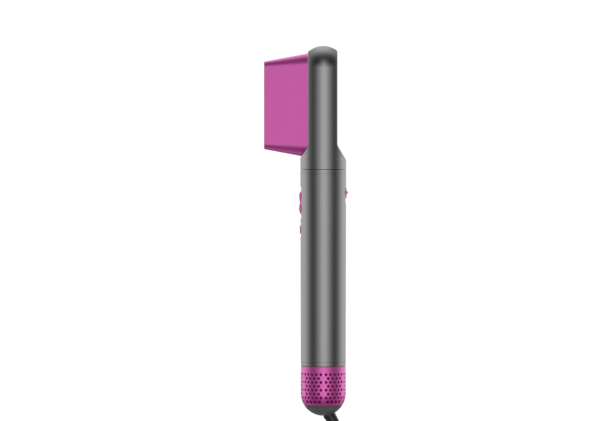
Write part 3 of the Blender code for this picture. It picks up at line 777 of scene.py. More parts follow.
def turned(outline, sides=ROUND_SIDES):
    """Spins (radius, height) points about Z. An outline that leaves the axis free closes to a ring."""
    bm = bmesh.new()
    points = [bm.verts.new((max(radius, 0.0), 0, height)) for radius, height in outline]
    edges = [bm.edges.new(pair) for pair in zip(points, points[1:])]
    if all(radius > NEAR_AXIS for radius, _ in outline):
        edges.append(bm.edges.new((points[-1], points[0])))
    bmesh.ops.spin(bm, geom=points + edges, cent=(0, 0, 0), axis=(0, 0, 1), angle=math.tau, steps=sides)
    return bm


def tube(inner, outer, low, high, sides=ROUND_SIDES, edge=0.0):
    outline = [(outer, low), (outer, high), (inner, high), (inner, low)]
    return turned(rounded(outline, edge, 2) if edge else outline, sides)


def rod(radius, low, high, sides=SMALL_SIDES):
    return turned([(0, low), (radius, low), (radius, high), (0, high)], sides)


def block(low, high):
    bm = bmesh.new()
    size = Vector(high) - Vector(low)
    middle = (Vector(high) + Vector(low)) / 2
    bmesh.ops.create_cube(bm, size=1.0, matrix=Matrix.Translation(middle) @ Matrix.Diagonal((*size, 1)))
    return bm


def loft(rings, ends=True):
    """Joins rings of equal point counts with quads, and closes the two ends."""
    bm = bmesh.new()
    made = [[bm.verts.new(point) for point in ring] for ring in rings]
    for one, two in zip(made, made[1:]):
        for i in range(len(one)):
            j = (i + 1) % len(one)
            bm.faces.new((one[i], one[j], two[j], two[i]))
    if ends:
        bm.faces.new(made[0])
        bm.faces.new(made[-1])
    return bm


def prism(outline, low, high):
    """Extrudes an outline of (x, z) points along Y."""
    return loft([[(x, low, z) for x, z in outline], [(x, high, z) for x, z in outline]])


def turned_normals(obj, surface):
    """Gives the faces on a turned surface its true normals. Surface takes a point's radius and height, and
    returns the slope's (radius, height) direction there, or None off the surface."""
    mesh = obj.data
    normals = np.empty(len(mesh.loops) * 3, np.float32)
    mesh.corner_normals.foreach_get("vector", normals)
    normals = normals.reshape(-1, 3)
    for face in mesh.polygons:
        centre = face.center
        radius = math.hypot(centre.x, centre.y)
        found = surface(radius, centre.z)
        if found is None or radius < NEAR_AXIS:
            continue
        out = Vector((centre.x / radius * found[0], centre.y / radius * found[0], found[1]))
        if face.normal.dot(out) < SAME_WAY:
            continue
        for loop in face.loop_indices:
            point = mesh.vertices[mesh.loops[loop].vertex_index].co
            here = max(math.hypot(point.x, point.y), NEAR_AXIS)
            slope = surface(here, point.z) or found
            normals[loop] = (point.x / here * slope[0], point.y / here * slope[0], slope[1])
    mesh.normals_split_custom_set(normals.tolist())
    return obj


# ---------------------------------------------------------------- head and nozzle


def flat_reach(height, flat, ramp_top):
    """How far from the axis a flat stands at a height, with the filleted ramp that leads out below it."""
    below = ramp_top - height
    if below <= 0:
        return flat
    bend = RAMP_FILLET * math.sin(RAMP_ANGLE)
    if below <= bend:
        return flat + RAMP_FILLET - math.sqrt(RAMP_FILLET**2 - below**2)
    return flat + RAMP_FILLET * (1 - math.cos(RAMP_ANGLE)) + (below - bend) * math.tan(RAMP_ANGLE)


def vanishing_height(flat, radius, ramp_top):
    """Where the ramp runs out into the round body."""
    out = radius - flat - RAMP_FILLET * (1 - math.cos(RAMP_ANGLE))
    return ramp_top - RAMP_FILLET * math.sin(RAMP_ANGLE) - out / math.tan(RAMP_ANGLE)


def clipped_circle(radius, front, back, height, edge, arc_steps=72, flat_steps=10, edge_steps=4):
    """A circle with a slice taken off at -X and at +X and softened corners."""
    points = []

    def corner(limit):
        half = math.acos(min(1.0, limit / radius))
        soft = min(edge, 0.8 * radius * math.sin(half))
        return half, soft / radius, radius * math.sin(half) - soft

    for side, left, reached in ((1, back, front), (-1, front, back)):
        half, soft, _ = corner(left)
        start = half + soft
        half, soft, flat_half = corner(reached)
        end = math.pi - half - soft
        for i in range(arc_steps + 1):
            angle = start + (end - start) * i / arc_steps
            points.append((side * radius * math.cos(angle), side * radius * math.sin(angle)))
        last = Vector(points[-1])
        flat_x = -side * min(reached, radius)
        sharp = Vector((flat_x, side * radius * math.sin(half)))
        flat_start = Vector((flat_x, side * flat_half))
        points += [
            soft_corner(last, sharp, flat_start, i / edge_steps) for i in range(1, edge_steps + 1)
        ]
        points += [(flat_x, side * flat_half * (1 - 2 * i / flat_steps)) for i in range(1, flat_steps + 1)]
        flat_end = Vector((flat_x, -side * flat_half))
        sharp = Vector((flat_x, -side * radius * math.sin(half)))
        arc_start = Vector((math.cos(half + soft), math.sin(half + soft))) * -side * radius
        points += [soft_corner(flat_end, sharp, arc_start, i / edge_steps) for i in range(1, edge_steps)]
    return [(x, y, height) for x, y in points]


def head_form(inset, low, ramp_drop, edge):
    """The head's closed outer form, or the hollow inside it, as rings from the rim to the dome's top."""
    radius = TOP_RADIUS - inset
    front, back = FRONT_FLAT - inset, BACK_FLAT - inset
    ramp_top = RAMP_TOP - ramp_drop
    levels = {low, DOME_CENTRE}
    for flat in (front, back):
        gone = vanishing_height(flat, radius, ramp_top)
        bend = ramp_top - RAMP_FILLET * math.sin(RAMP_ANGLE)
        levels |= {gone + (bend - gone) * i / 10 for i in range(11)}
        levels |= {bend + (ramp_top - bend) * i / 8 for i in range(9)}
        levels.add(DOME_CENTRE + math.sqrt(radius**2 - flat**2))
    levels |= {ramp_top + (DOME_CENTRE - ramp_top) * i / 6 for i in range(1, 6)}
    levels |= {DOME_CENTRE + radius * math.sin(math.radians(a)) for a in np.linspace(2.5, 87.5, 35)}
    rings = []
    for height in sorted(levels):
        if height < low:
            continue
        wide = math.sqrt(radius**2 - max(0.0, height - DOME_CENTRE) ** 2)
        here = [flat_reach(height, flat, ramp_top) for flat in (front, back)]
        rings.append(clipped_circle(wide, *here, height, edge))
    bm = loft(rings, ends=False)
    bm.verts.ensure_lookup_table()
    count = len(rings[0])
    bm.faces.new(bm.verts[:count])
    last = bm.verts[-count:]
    top = bm.verts.new((0, 0, DOME_CENTRE + radius))
    for i in range(count):
        bm.faces.new((last[i], last[(i + 1) % count], top))
    return bm


def nozzle_ring(x, inset, steps=20, straight=24):
    """A tall slot with fully rounded ends, square to X."""
    tip = NOZZLE_LOW.x
    along = (x - tip) / (-FRONT_FLAT - tip)
    thick = TIP_THICK + (ROOT_THICK - TIP_THICK) * along - inset
    tall = TIP_TALL + TALL_GROWTH * (x - tip) - inset
    points = []
    for side in (1, -1):
        for y, z in arc((0, side * (tall - thick)), thick, 90 - side * 90, 270 - side * 90, steps):
            points.append((x, y, NOZZLE_MIDDLE + z))
        start = points[-1]
        for i in range(1, straight):
            points.append((x, start[1], start[2] - side * 2 * (tall - thick) * i / straight))
    return points


def nozzle_flare(inset, start, end, steps=6):
    return loft([nozzle_ring(start + (end - start) * i / steps, inset) for i in range(steps + 1)])


def head_side(gap):
    """The head's side outline on the nozzle's side, pushed out by a gap, as a shape to cut with."""
    far, high, low = 30 * MM, RAMP_TOP + 100 * MM, RAMP_TOP - 26 * MM
    points = [(far, high), (-FRONT_FLAT - gap, high)]
    fillet = RAMP_FILLET * math.sin(RAMP_ANGLE)
    for height in [RAMP_TOP - fillet * i / 12 for i in range(13)] + [low]:
        points.append((-flat_reach(height, FRONT_FLAT, RAMP_TOP) - gap, height))
    return [*points, (far, low)]


def head_slope(radius, height):
    """The outward direction of the head's turned surface, or None off it."""
    above = max(0.0, height - DOME_CENTRE)
    reach = math.hypot(radius, above)
    return (radius / reach, above / reach) if reach > TOP_RADIUS - 0.02 * MM else None


class STYLER_OT_head(bpy.types.Operator):
    """Makes the domed head with its flats, ramps and air window"""

    bl_idname = "styler.head"
    bl_label = "Head"

    def execute(self, context):
        body = context.scene.styler_body
        low = HEAD_LOW.z
        head = new_piece("head", head_form(0.0, low, 0.0, body.edge))
        hollow = new_piece("hollow", head_form(HEAD_WALL, low - 3 * MM, 1 * MM, 0.3 * MM))
        window_end = HEAD_WALL + 0.4 * MM - FRONT_FLAT
        window = new_piece("window", nozzle_flare(NOZZLE_WALL, NOZZLE_LOW.x - 2 * MM, window_end))
        rim = [
            (TOP_RADIUS - body.seam, low - MM),
            (TOP_RADIUS + MM, low - MM),
            (TOP_RADIUS + MM, low + body.seam + MM),
            (TOP_RADIUS, low + body.seam),
            (TOP_RADIUS - body.seam, low),
        ]
        carve(head, hollow, window, new_piece("rim_chamfer", turned(rim)))
        even_out(head)
        turned_normals(head, head_slope)
        finish_piece(head, "grey_shell", "attachment", "head_shell")
        return {"FINISHED"}


class STYLER_OT_nozzle(bpy.types.Operator):
    """Makes the flat drying nozzle with its hollow bore, seated against the head's flat"""

    bl_idname = "styler.nozzle"
    bl_label = "Nozzle"

    def execute(self, context):
        lip = context.scene.styler_body.nozzle_lip
        tip = NOZZLE_LOW.x
        rings = [nozzle_ring(tip + lip * along, lip * across) for along, across in quarter()]
        rings = rings[::-1]
        root = 2 * MM - FRONT_FLAT
        rings += [nozzle_ring(tip + (root - tip) * i / 8, 0) for i in range(1, 9)]
        nozzle = new_piece("drying_nozzle", loft(rings))
        mouth = [nozzle_ring(tip + lip * along, NOZZLE_WALL - lip * across) for along, across in quarter()]
        start = [(x - 4 * MM, y, z) for x, y, z in mouth[-1]]
        root += 2 * MM
        walls = [nozzle_ring(tip + (root - tip) * i / 8, NOZZLE_WALL) for i in range(1, 9)]
        bore = new_piece("bore", loft([start, *mouth[::-1], *walls]))
        seat = new_piece("root", prism(head_side(NOZZLE_GAP), -34 * MM, 34 * MM))
        carve(nozzle, bore, seat)
        even_out(nozzle)
        finish_piece(nozzle, "magenta_shell", "attachment", "nozzle")
        return {"FINISHED"}


# ---------------------------------------------------------------- handle


def shell_slope(radius, height):
    """The tapered handle's outward direction, or None off its outer surface."""
    share = (height - SHELL_LOW.z) / (SHELL_HIGH.z - SHELL_LOW.z)
    here = LOW_RADIUS + (TOP_RADIUS - LOW_RADIUS) * share
    return (1.0, 0.0) if abs(radius - here) < 0.05 * MM else None


class STYLER_OT_handle(bpy.types.Operator):
    """Makes the handle's tube with the pockets of its controls, and the collar ring at its top"""

    bl_idname = "styler.handle"
    bl_label = "Handle"

    def execute(self, context):
        seam = context.scene.styler_body.seam
        low, high = SHELL_LOW.z, COLLAR_LOW.z - SHELL_GAP
        soft = 0.1 * MM
        outline = [
            (LOW_RADIUS - soft, low),
            (LOW_RADIUS, low + soft),
            (TOP_RADIUS, high - FINE_EDGE),
            (TOP_RADIUS - FINE_EDGE, high),
            (BORE, high),
            (BORE, low),
        ]
        shell = new_piece("handle_tube", turned(outline, 160))
        cutters = [
            pocket("mode_pocket", -1, POCKET, 5.6 * MM, (46.55 * MM, 77.45 * MM), POCKET_CORNER),
            slider_window("mode_window", -1, (55.4 * MM, 68.6 * MM)),
            pocket("cool_pocket", -1, 21.3 * MM, 5.4 * MM, (29.4 * MM, 43.2 * MM), 8.8 * MM),
            pocket("release_pocket", 1, POCKET, 5.6 * MM, (61.2 * MM, 77.3 * MM), POCKET_CORNER),
            slider_window("release_window", 1, (65.7 * MM, 75.8 * MM)),
        ]
        hole = new_piece("cool_hole", rod(COOL_BORE, -28 * MM, -14 * MM))
        hole.data.transform(Matrix.Translation((0, 0, COOL_HEIGHT)) @ Matrix.Rotation(math.pi / 2, 4, "Y"))
        carve(shell, *cutters, hole)
        turned_normals(shell, shell_slope)
        finish_piece(shell, "grey_shell", "handle", "handle_shell")
        low, high = COLLAR_LOW.z, COLLAR_HIGH.z
        collar = [
            (TOP_RADIUS - FINE_EDGE, low),
            (TOP_RADIUS, low + FINE_EDGE),
            (TOP_RADIUS, high - seam),
            (TOP_RADIUS - seam, high),
            (COLLAR_BORE, high),
            (COLLAR_BORE, low),
        ]
        obj = new_piece("collar_ring", turned(collar))
        finish_piece(even_out(obj), "grey_shell", "handle", "coupling_collar")
        return {"FINISHED"}


def pocket(name, side, floor, half_width, heights, corner):
    """A cutter for a pocket in the handle's side at -X or +X, with rounded corners."""
    half_length, middle = (heights[1] - heights[0]) / 2, (heights[1] + heights[0]) / 2
    corners = [(-half_width, -half_length), (half_width, -half_length)]
    corners += [(half_width, half_length), (-half_width, half_length)]
    outline = rounded(corners, corner, 8)
    rings = [[(side * x, u, middle + v) for u, v in outline] for x in (floor, POCKET_MOUTH)]
    return new_piece(name, loft(rings))


def slider_window(name, side, heights):
    """A cutter for the window under a slider, right through the handle's wall."""
    near, far = sorted((side * 15 * MM, side * POCKET_MOUTH))
    return new_piece(name, block((near, -WINDOW_HALF, heights[0]), (far, WINDOW_HALF, heights[1])))


class STYLER_OT_coupling(bpy.types.Operator):
    """Makes the plug-in ring, its seal, the head's sleeve and the heater's jacket"""

    bl_idname = "styler.coupling"
    bl_label = "Coupling"

    def execute(self, context):
        low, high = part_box("socket_ring")
        outline = [
            (SOCKET_BORE, low.z),
            (high.x, low.z),
            (high.x, SOCKET_FOOT_TOP),
            (SOCKET_SEAT, SOCKET_FOOT_TOP),
            (SOCKET_SEAT, SEAL_GROOVE[0]),
            (SEAL_SEAT, SEAL_GROOVE[0]),
            (SEAL_SEAT, SEAL_GROOVE[1]),
            (SOCKET_SEAT, SEAL_GROOVE[1]),
            (SOCKET_SEAT, high.z),
            (SOCKET_BORE, high.z),
        ]
        ring = new_piece("plug_in_ring", turned(rounded(outline, 0.4 * MM), ROUND_SIDES))
        notch = new_piece("notch", block(Vector((17.6, -3.2, 84)) * MM, Vector((26, 3.2, 88)) * MM))
        carve(ring, notch)
        finish_piece(even_out(ring), "natural_plastic", "handle", "socket_ring")

        low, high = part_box("socket_seal")
        lip, waist = 0.35 * MM, 0.3 * MM
        outline = [
            (SEAL_SEAT + waist, low.z),
            (high.x - lip, low.z),
            (high.x, low.z + lip),
            (high.x - waist, (low.z + high.z) / 2),
            (high.x, high.z - lip),
            (high.x - lip, high.z),
            (SEAL_SEAT + waist, high.z),
        ]
        seal = new_piece("lip_seal", turned(rounded(outline, 0.2 * MM, 2), ROUND_SIDES))
        finish_piece(even_out(seal), "soft_rubber", "handle", "socket_seal")

        low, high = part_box("coupling_sleeve")
        sleeve = new_piece("lined_sleeve", tube(SLEEVE_BORE, high.x, low.z, high.z, edge=0.45 * MM))
        slot = new_piece("slot", block(Vector((12, -4.6, 91)) * MM, Vector((26, 4.6, 100.5)) * MM))
        carve(sleeve, slot)
        finish_piece(even_out(sleeve), "dark_plastic", "attachment", "coupling_sleeve")

        low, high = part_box("heater_sleeve")
        jacket = tube(high.x - JACKET_WALL, high.x, low.z, high.z, edge=0.2 * MM)
        jacket = new_piece("heater_jacket", jacket)
        finish_piece(even_out(jacket), "mica", "handle", "heater_sleeve")
        return {"FINISHED"}


class STYLER_OT_lower_ring(bpy.types.Operator):
    """Makes the ring below the handle that carries the intake frame and guides the cage"""

    bl_idname = "styler.lower_ring"
    bl_label = "Lower ring"

    def execute(self, context):
        low, high = RING_HIGH.z - RING_BAND, SHELL_LOW.z - SHELL_GAP
        soft, chamfer = 0.1 * MM, 0.35 * MM
        outline = [
            (LOW_RADIUS - soft, high),
            (LOW_RADIUS, high - soft),
            (LOW_RADIUS, low + chamfer),
            (LOW_RADIUS - chamfer, low),
            (RING_SKIRT, low),
            (RING_SKIRT, SKIRT_LOW),
            (RING_BORE, SKIRT_LOW),
            (RING_BORE, LUG_HEIGHTS[0]),
            (LUG_BORE, LUG_HEIGHTS[0]),
            (LUG_BORE, LUG_HEIGHTS[1]),
            (RING_BORE, LUG_HEIGHTS[1]),
            (RING_BORE, high),
        ]
        ring = new_piece("lower_ring_band", turned(outline))
        holes = []
        for i in range(LUGS):
            hole = new_piece(f"lug_hole_{i}", rod(LUG_HOLE, LUG_HEIGHTS[0] - MM, LUG_HEIGHTS[1] + MM, 16))
            angle = math.radians(30) + math.tau * i / LUGS
            place = Vector((math.cos(angle), math.sin(angle), 0)) * LUG_CIRCLE
            hole.data.transform(Matrix.Translation(place))
            holes.append(hole)
        carve(ring, *holes)
        finish_piece(even_out(ring), "grey_shell", "handle", "lower_ring")
        return {"FINISHED"}


# ---------------------------------------------------------------- controls


def thumb_ring(half_width, half_length, corner, corner_steps=8, long_steps=36, short_steps=8):
    """A rounded rectangle of (across, along) points, with the same count for every size."""
    corner = max(0.0, min(corner, half_width, half_length))
    points = []
    middles = (
        (half_width - corner, half_length - corner, 0),
        (corner - half_width, half_length - corner, 90),
        (corner - half_width, corner - half_length, 180),
        (half_width - corner, corner - half_length, 270),
    )
    for i, (u, v, start) in enumerate(middles):
        points += arc((u, v), corner, start, start + 90, corner_steps)
        last = Vector(points[-1])
        u, v, start = middles[(i + 1) % 4]
        turn = math.radians(start)
        goal = Vector((u + corner * math.cos(turn), v + corner * math.sin(turn)))
        steps = short_steps if i % 2 == 0 else long_steps
        points += [tuple(last.lerp(goal, k / steps)) for k in range(1, steps)]
    return points


def thumb_form(heights, corner, crest, edge, facing):
    """A thumb piece on the round handle. Crest gives its radius from the handle's axis at a height."""
    half_width, floor = THUMB_HALF, POCKET + THUMB_REST
    half_length, middle = (heights[1] - heights[0]) / 2, (heights[1] + heights[0]) / 2

    def place(u, v, out):
        return (facing * out, -facing * u, middle + v)

    outline = thumb_ring(half_width, half_length, corner)
    rings = [[place(u, v, floor) for u, v in outline]]
    steps = 6
    insets = [edge * (1 - math.cos(math.radians(90 * k / steps))) for k in range(steps + 1)]
    insets += [edge + (half_width - edge) * k / 5 for k in range(1, 6)]
    for inset in insets:
        drop = 0.0
        if inset < edge:
            drop = edge - math.sqrt(edge**2 - (edge - inset) ** 2)
        ring = []
        for u, v in thumb_ring(half_width - inset, half_length - inset, corner - inset):
            radius = crest(middle + v) - drop
            ring.append(place(u, v, math.sqrt(radius**2 - u**2)))
        rings.append(ring)
    bm = loft(rings, ends=False)
    bm.verts.ensure_lookup_table()
    bm.faces.new(bm.verts[: len(outline)])
    return bm


def wavy(points):
    """A smooth height from (position, level) points, level before the first and after the last."""
    dense = smooth_route([(x, y, 0) for x, y in points], 12)
    xs, ys = [p.x for p in dense], [p.y for p in dense]
    return lambda at: float(np.interp(at, xs, ys))


def helix_form(radius, wire, low, high, turns=5, steps=28, sides=10):
    """A compression spring about Z, its turns closer together at both ends."""
    rings = []
    for i in range(turns * steps + 1):
        share = i / (turns * steps)
        angle = math.tau * i / steps
        out = Vector((math.cos(angle), math.sin(angle), 0))
        middle = out * radius
        middle.z = low + (high - low) * (share - 0.08 * math.sin(math.tau * share))
        ring = []
        for k in range(sides):
            turn = math.tau * k / sides
            ring.append(middle + out * wire * math.cos(turn) + Vector((0, 0, wire * math.sin(turn))))
        rings.append(ring)
    return loft(rings)


class STYLER_OT_controls(bpy.types.Operator):
    """Makes the mode slider, the cool button and the release slider"""

    bl_idname = "styler.controls"
    bl_label = "Controls"

    def execute(self, context):
        low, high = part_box("mode_thumb")
        middle = (low.z + high.z) / 2
        floor = POCKET + THUMB_REST
        below = ((0, 21.7), (1.6, 22.4), (4.6, 23.25), (7.6, 23.0))
        above = ((-6.4, 23.0), (-3.4, 23.1), (-1.4, 22.4), (0, 21.7))
        humps = [(low.z + z, r) for z, r in in_metres(*below)] + [(middle + 0.2 * MM, 22.35 * MM)]
        crest = wavy(humps + [(high.z + z, r) for z, r in in_metres(*above)])
        thumb = new_piece("mode_slide", thumb_form((low.z, high.z), 2.2 * MM, crest, 0.8 * MM, -1))
        stem_low = (-floor - 0.5 * MM, -STEM_HALF, middle - 2 * MM)
        stem = new_piece("stem", block(stem_low, (-19.0 * MM, STEM_HALF, middle + 2 * MM)))
        carve(thumb, stem, how="UNION")
        finish_piece(even_out(thumb), "magenta_shell", "mode_slider", "mode_thumb")

        outline = [
            (0, 17.5 * MM),
            (COOL_FLANGE, 17.5 * MM),
            (COOL_FLANGE, 18.5 * MM),
            (COOL_RADIUS, 18.5 * MM),
            (COOL_RADIUS, 21.6 * MM),
            *arc((COOL_RADIUS - 0.5 * MM, 21.6 * MM), 0.5 * MM, 0, 75, 5),
            (2.6 * MM, 22.23 * MM),
            (1.3 * MM, 22.32 * MM),
            (0, 22.35 * MM),
        ]
        button = new_piece("cool_shot_button", turned(outline, SMALL_SIDES))
        turn = Matrix.Translation((0, 0, COOL_HEIGHT)) @ Matrix.Rotation(-math.pi / 2, 4, "Y")
        button.data.transform(turn)
        finish_piece(even_out(button), "magenta_shell", "cool_button", "cool_button")

        low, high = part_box("release_thumb")
        fin = ((0, 21.8), (1.4, 22.2), (3.2, 22.3), (4.4, 22.75), (5.3, 23.65), (6.0, 23.65), (6.9, 22.7))
        tail = ((-1.2, 22.15), (0, 21.8))
        shape = [(low.z + z, r) for z, r in in_metres(*fin, (8.2, 22.3))]
        crest = wavy(shape + [(high.z + z, r) for z, r in in_metres(*tail)])
        thumb = new_piece("release_slide", thumb_form((low.z, high.z), 2.0 * MM, crest, 0.7 * MM, 1))
        stem_low, stem_high = (19.4 * MM, -STEM_HALF, 70.5 * MM), (floor + 0.5 * MM, STEM_HALF, 75.5 * MM)
        stem = new_piece("stem", block(stem_low, stem_high))
        carve(thumb, stem, how="UNION")
        finish_piece(even_out(thumb), "magenta_shell", "release_slider", "release_thumb")

        low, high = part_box("release_spring")
        radius = (high.y - low.y) / 2 - SPRING_WIRE
        seat = SPRING_WIRE * 1.2
        coil = helix_form(radius, SPRING_WIRE, low.z + seat, high.z - seat)
        bmesh.ops.translate(coil, verts=coil.verts, vec=((low.x + high.x) / 2, 0, 0))
        spring = new_piece("latch_spring", coil)
        finish_piece(spring, "steel", "handle", "release_spring")
        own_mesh(spring)
        return {"FINISHED"}


# ---------------------------------------------------------------- cage


def cage_slope(radius, height):
    """The cage's outward direction, or None off its outer surface."""
    below = max(0.0, CAGE_CENTRE - height)
    reach = math.hypot(radius, below)
    return (radius / reach, -below / reach) if reach > LOW_RADIUS - 0.1 * MM else None


CUT = {"operation": "DIFFERENCE", "solver": "EXACT"}


def new_tree(name, inputs):
    """A geometry tree with these inputs, by name and kind, and one mesh that comes out."""
    tree = bpy.data.node_groups.new(name, "GeometryNodeTree")
    for label, kind in inputs.items():
        tree.interface.new_socket(label, in_out="INPUT", socket_type=f"NodeSocket{kind}")
    tree.interface.new_socket("Geometry", in_out="OUTPUT", socket_type="NodeSocketGeometry")
    return Graph(tree)


def close_tree(graph, shape):
    """Makes the shape real, paints it with the tree's finish and sends it out."""
    real = graph.node("GeometryNodeRealizeInstances", {}, {"Geometry": shape})
    finish = graph.node("NodeGroupInput", {}, {}, "Finish")
    painted = graph.node("GeometryNodeSetMaterial", {}, {"Geometry": real, "Material": finish})
    graph.node("NodeGroupOutput", {}, {0: painted})
    return graph.tree


# The cage's holes: columns in a full row, their sides, how they taper, and how the last row differs
HOLE_COLUMNS = 5
HOLE_SIDES = 14
HOLE_TAPER = 0.25
LAST_ROW_SPREAD = 0.068
LAST_ROW_DROP = 0.1
LAST_ROW_SIZE = (0.38, 0.22)
HALF_EQUAL = 0.1


def perforation_tree():
    """Cuts rows of tapered holes into the mesh that it is given."""
    inputs = {
        "Geometry": "Geometry",
        "Panels": "Int",
        "Rows": "Int",
        "Hole radius": "Float",
        "Row pitch": "Float",
        "Column pitch": "Float",
        "Shell radius": "Float",
        "Wall": "Float",
        "Centre height": "Float",
        "First row": "Float",
        "Finish": "Material",
    }
    graph = new_tree("perforations", inputs)
    given = graph.node("NodeGroupInput", {}, {}, "Geometry")
    value = given.other
    per_panel = value("Rows") * HOLE_COLUMNS
    count = value("Panels") * per_panel
    index = graph.node("GeometryNodeInputIndex", {}, {})
    panel = graph.maths("FLOOR", index / per_panel)
    inside = index - panel * per_panel
    row = graph.maths("FLOOR", inside / HOLE_COLUMNS)
    column = inside - row * HOLE_COLUMNS
    odd = row % 2
    last = graph.maths("COMPARE", row, value("Rows") - 1, HALF_EQUAL)
    pitch = value("Column pitch") * (1 + last * LAST_ROW_SPREAD)
    middle = (panel + 0.5) * (math.tau / value("Panels")) - math.pi / 2
    angle = middle + (column - (HOLE_COLUMNS - 1) / 2 + odd * 0.5) * pitch
    along = value("Row pitch") * (row + last * LAST_ROW_DROP) - value("First row")
    fallen = graph.maths("MAXIMUM", along, 0.0) / value("Shell radius")
    out = graph.maths("COSINE", fallen)
    down = graph.maths("SINE", fallen)
    flat = graph.maths("MINIMUM", along, 0.0)
    height = value("Centre height") - flat - value("Shell radius") * down
    x, y = graph.maths("COSINE", angle), graph.maths("SINE", angle)
    reach = value("Shell radius") * out
    spot = graph.node("ShaderNodeCombineXYZ", {}, {0: x * reach, 1: y * reach, 2: height})
    normal = graph.node("ShaderNodeCombineXYZ", {}, {0: x * out, 1: y * out, 2: 0 - down})
    points = graph.node("GeometryNodePoints", {}, {"Count": count, "Position": spot})
    turn = graph.node("FunctionNodeAlignRotationToVector", {"axis": "Z"}, {"Vector": normal})
    depth = value("Wall") * 4
    drill = {
        "Vertices": HOLE_SIDES,
        "Radius Top": value("Hole radius") * (1 + HOLE_TAPER),
        "Radius Bottom": value("Hole radius") * (1 - HOLE_TAPER),
        "Depth": depth,
    }
    cone = graph.node("GeometryNodeMeshCone", {"fill_type": "NGON"}, drill)
    back = graph.node("ShaderNodeCombineXYZ", {}, {2: depth * -0.5})
    cone = graph.node("GeometryNodeTransform", {}, {"Geometry": cone, "Translation": back})
    skip = odd * graph.maths("COMPARE", column, HOLE_COLUMNS - 1, HALF_EQUAL)
    size = {0: 1 + last * LAST_ROW_SIZE[0], 1: 1 + last * LAST_ROW_SIZE[1], 2: 1.0}
    wide = graph.node("ShaderNodeCombineXYZ", {}, size)
    drills = graph.node(
        "GeometryNodeInstanceOnPoints",
        {},
        {"Points": points, "Selection": 1 - skip, "Instance": cone, "Rotation": turn, "Scale": wide},
    )
    return close_tree(graph, graph.node("GeometryNodeMeshBoolean", CUT, {"Mesh 1": given, "Mesh 2": drills}))


def weave_tree():
    """Weaves wire rings and uprights along the profile that it is given."""
    inputs = {
        "Profile": "Geometry",
        "Uprights": "Int",
        "Spacing": "Float",
        "Wire radius": "Float",
        "Finish": "Material",
    }
    graph = new_tree("woven_filter", inputs)
    given = graph.node("NodeGroupInput", {}, {}, "Profile")
    value = given.other
    profile = graph.node("GeometryNodeMeshToCurve", {}, {"Mesh": given})
    wire = {"Resolution": 5, "Radius": value("Wire radius")}
    section = graph.node("GeometryNodeCurvePrimitiveCircle", {}, wire)
    swept = {"Curve": profile, "Profile Curve": section, "Fill Caps": True}
    upright = graph.node("GeometryNodeCurveToMesh", {}, swept)
    index = graph.node("GeometryNodeInputIndex", {}, {})
    spots = graph.node("GeometryNodePoints", {}, {"Count": value("Uprights")})
    turn = graph.node("ShaderNodeCombineXYZ", {}, {2: index * (math.tau / value("Uprights"))})
    uprights = graph.node(
        "GeometryNodeInstanceOnPoints", {}, {"Points": spots, "Instance": upright, "Rotation": turn}
    )
    spaced = {"Curve": profile, "Length": value("Spacing")}
    even = graph.node("GeometryNodeResampleCurve", {"mode": "LENGTH"}, spaced)
    heights = graph.node("GeometryNodeCurveToPoints", {"mode": "EVALUATED"}, {"Curve": even})
    place = graph.node("GeometryNodeInputPosition", {}, {})
    x = graph.node("ShaderNodeSeparateXYZ", {}, {0: place}, "X")
    wide = graph.node("ShaderNodeCombineXYZ", {}, {0: x, 1: x, 2: 1.0})
    loop = graph.node("GeometryNodeCurvePrimitiveCircle", {}, {"Resolution": 90, "Radius": 1.0})
    placed = {"Points": heights, "Instance": loop, "Scale": wide}
    rings = graph.node("GeometryNodeInstanceOnPoints", {}, placed)
    centred = graph.node("ShaderNodeCombineXYZ", {}, {2: x.other("Z")})
    rings = graph.node("GeometryNodeSetPosition", {}, {"Geometry": rings, "Position": centred})
    rings = graph.node("GeometryNodeRealizeInstances", {}, {"Geometry": rings})
    rings = graph.node("GeometryNodeCurveToMesh", {}, {"Curve": rings, "Profile Curve": section})
    join = graph.node("GeometryNodeJoinGeometry", {}, {})
    graph.tree.links.new(uprights.socket, join.socket.node.inputs[0])
    graph.tree.links.new(rings.socket, join.socket.node.inputs[0])
    return close_tree(graph, join)


def grow(obj, tree, **values):
    """Runs a geometry tree on the object with these inputs, and keeps the plain mesh."""
    modifier = obj.modifiers.new(tree.name, "NODES")
    modifier.node_group = tree
    for item in tree.interface.items_tree:
        key = item.name.lower().replace(" ", "_")
        if key in values:
            modifier[item.identifier] = values[key]
    return settle(obj)


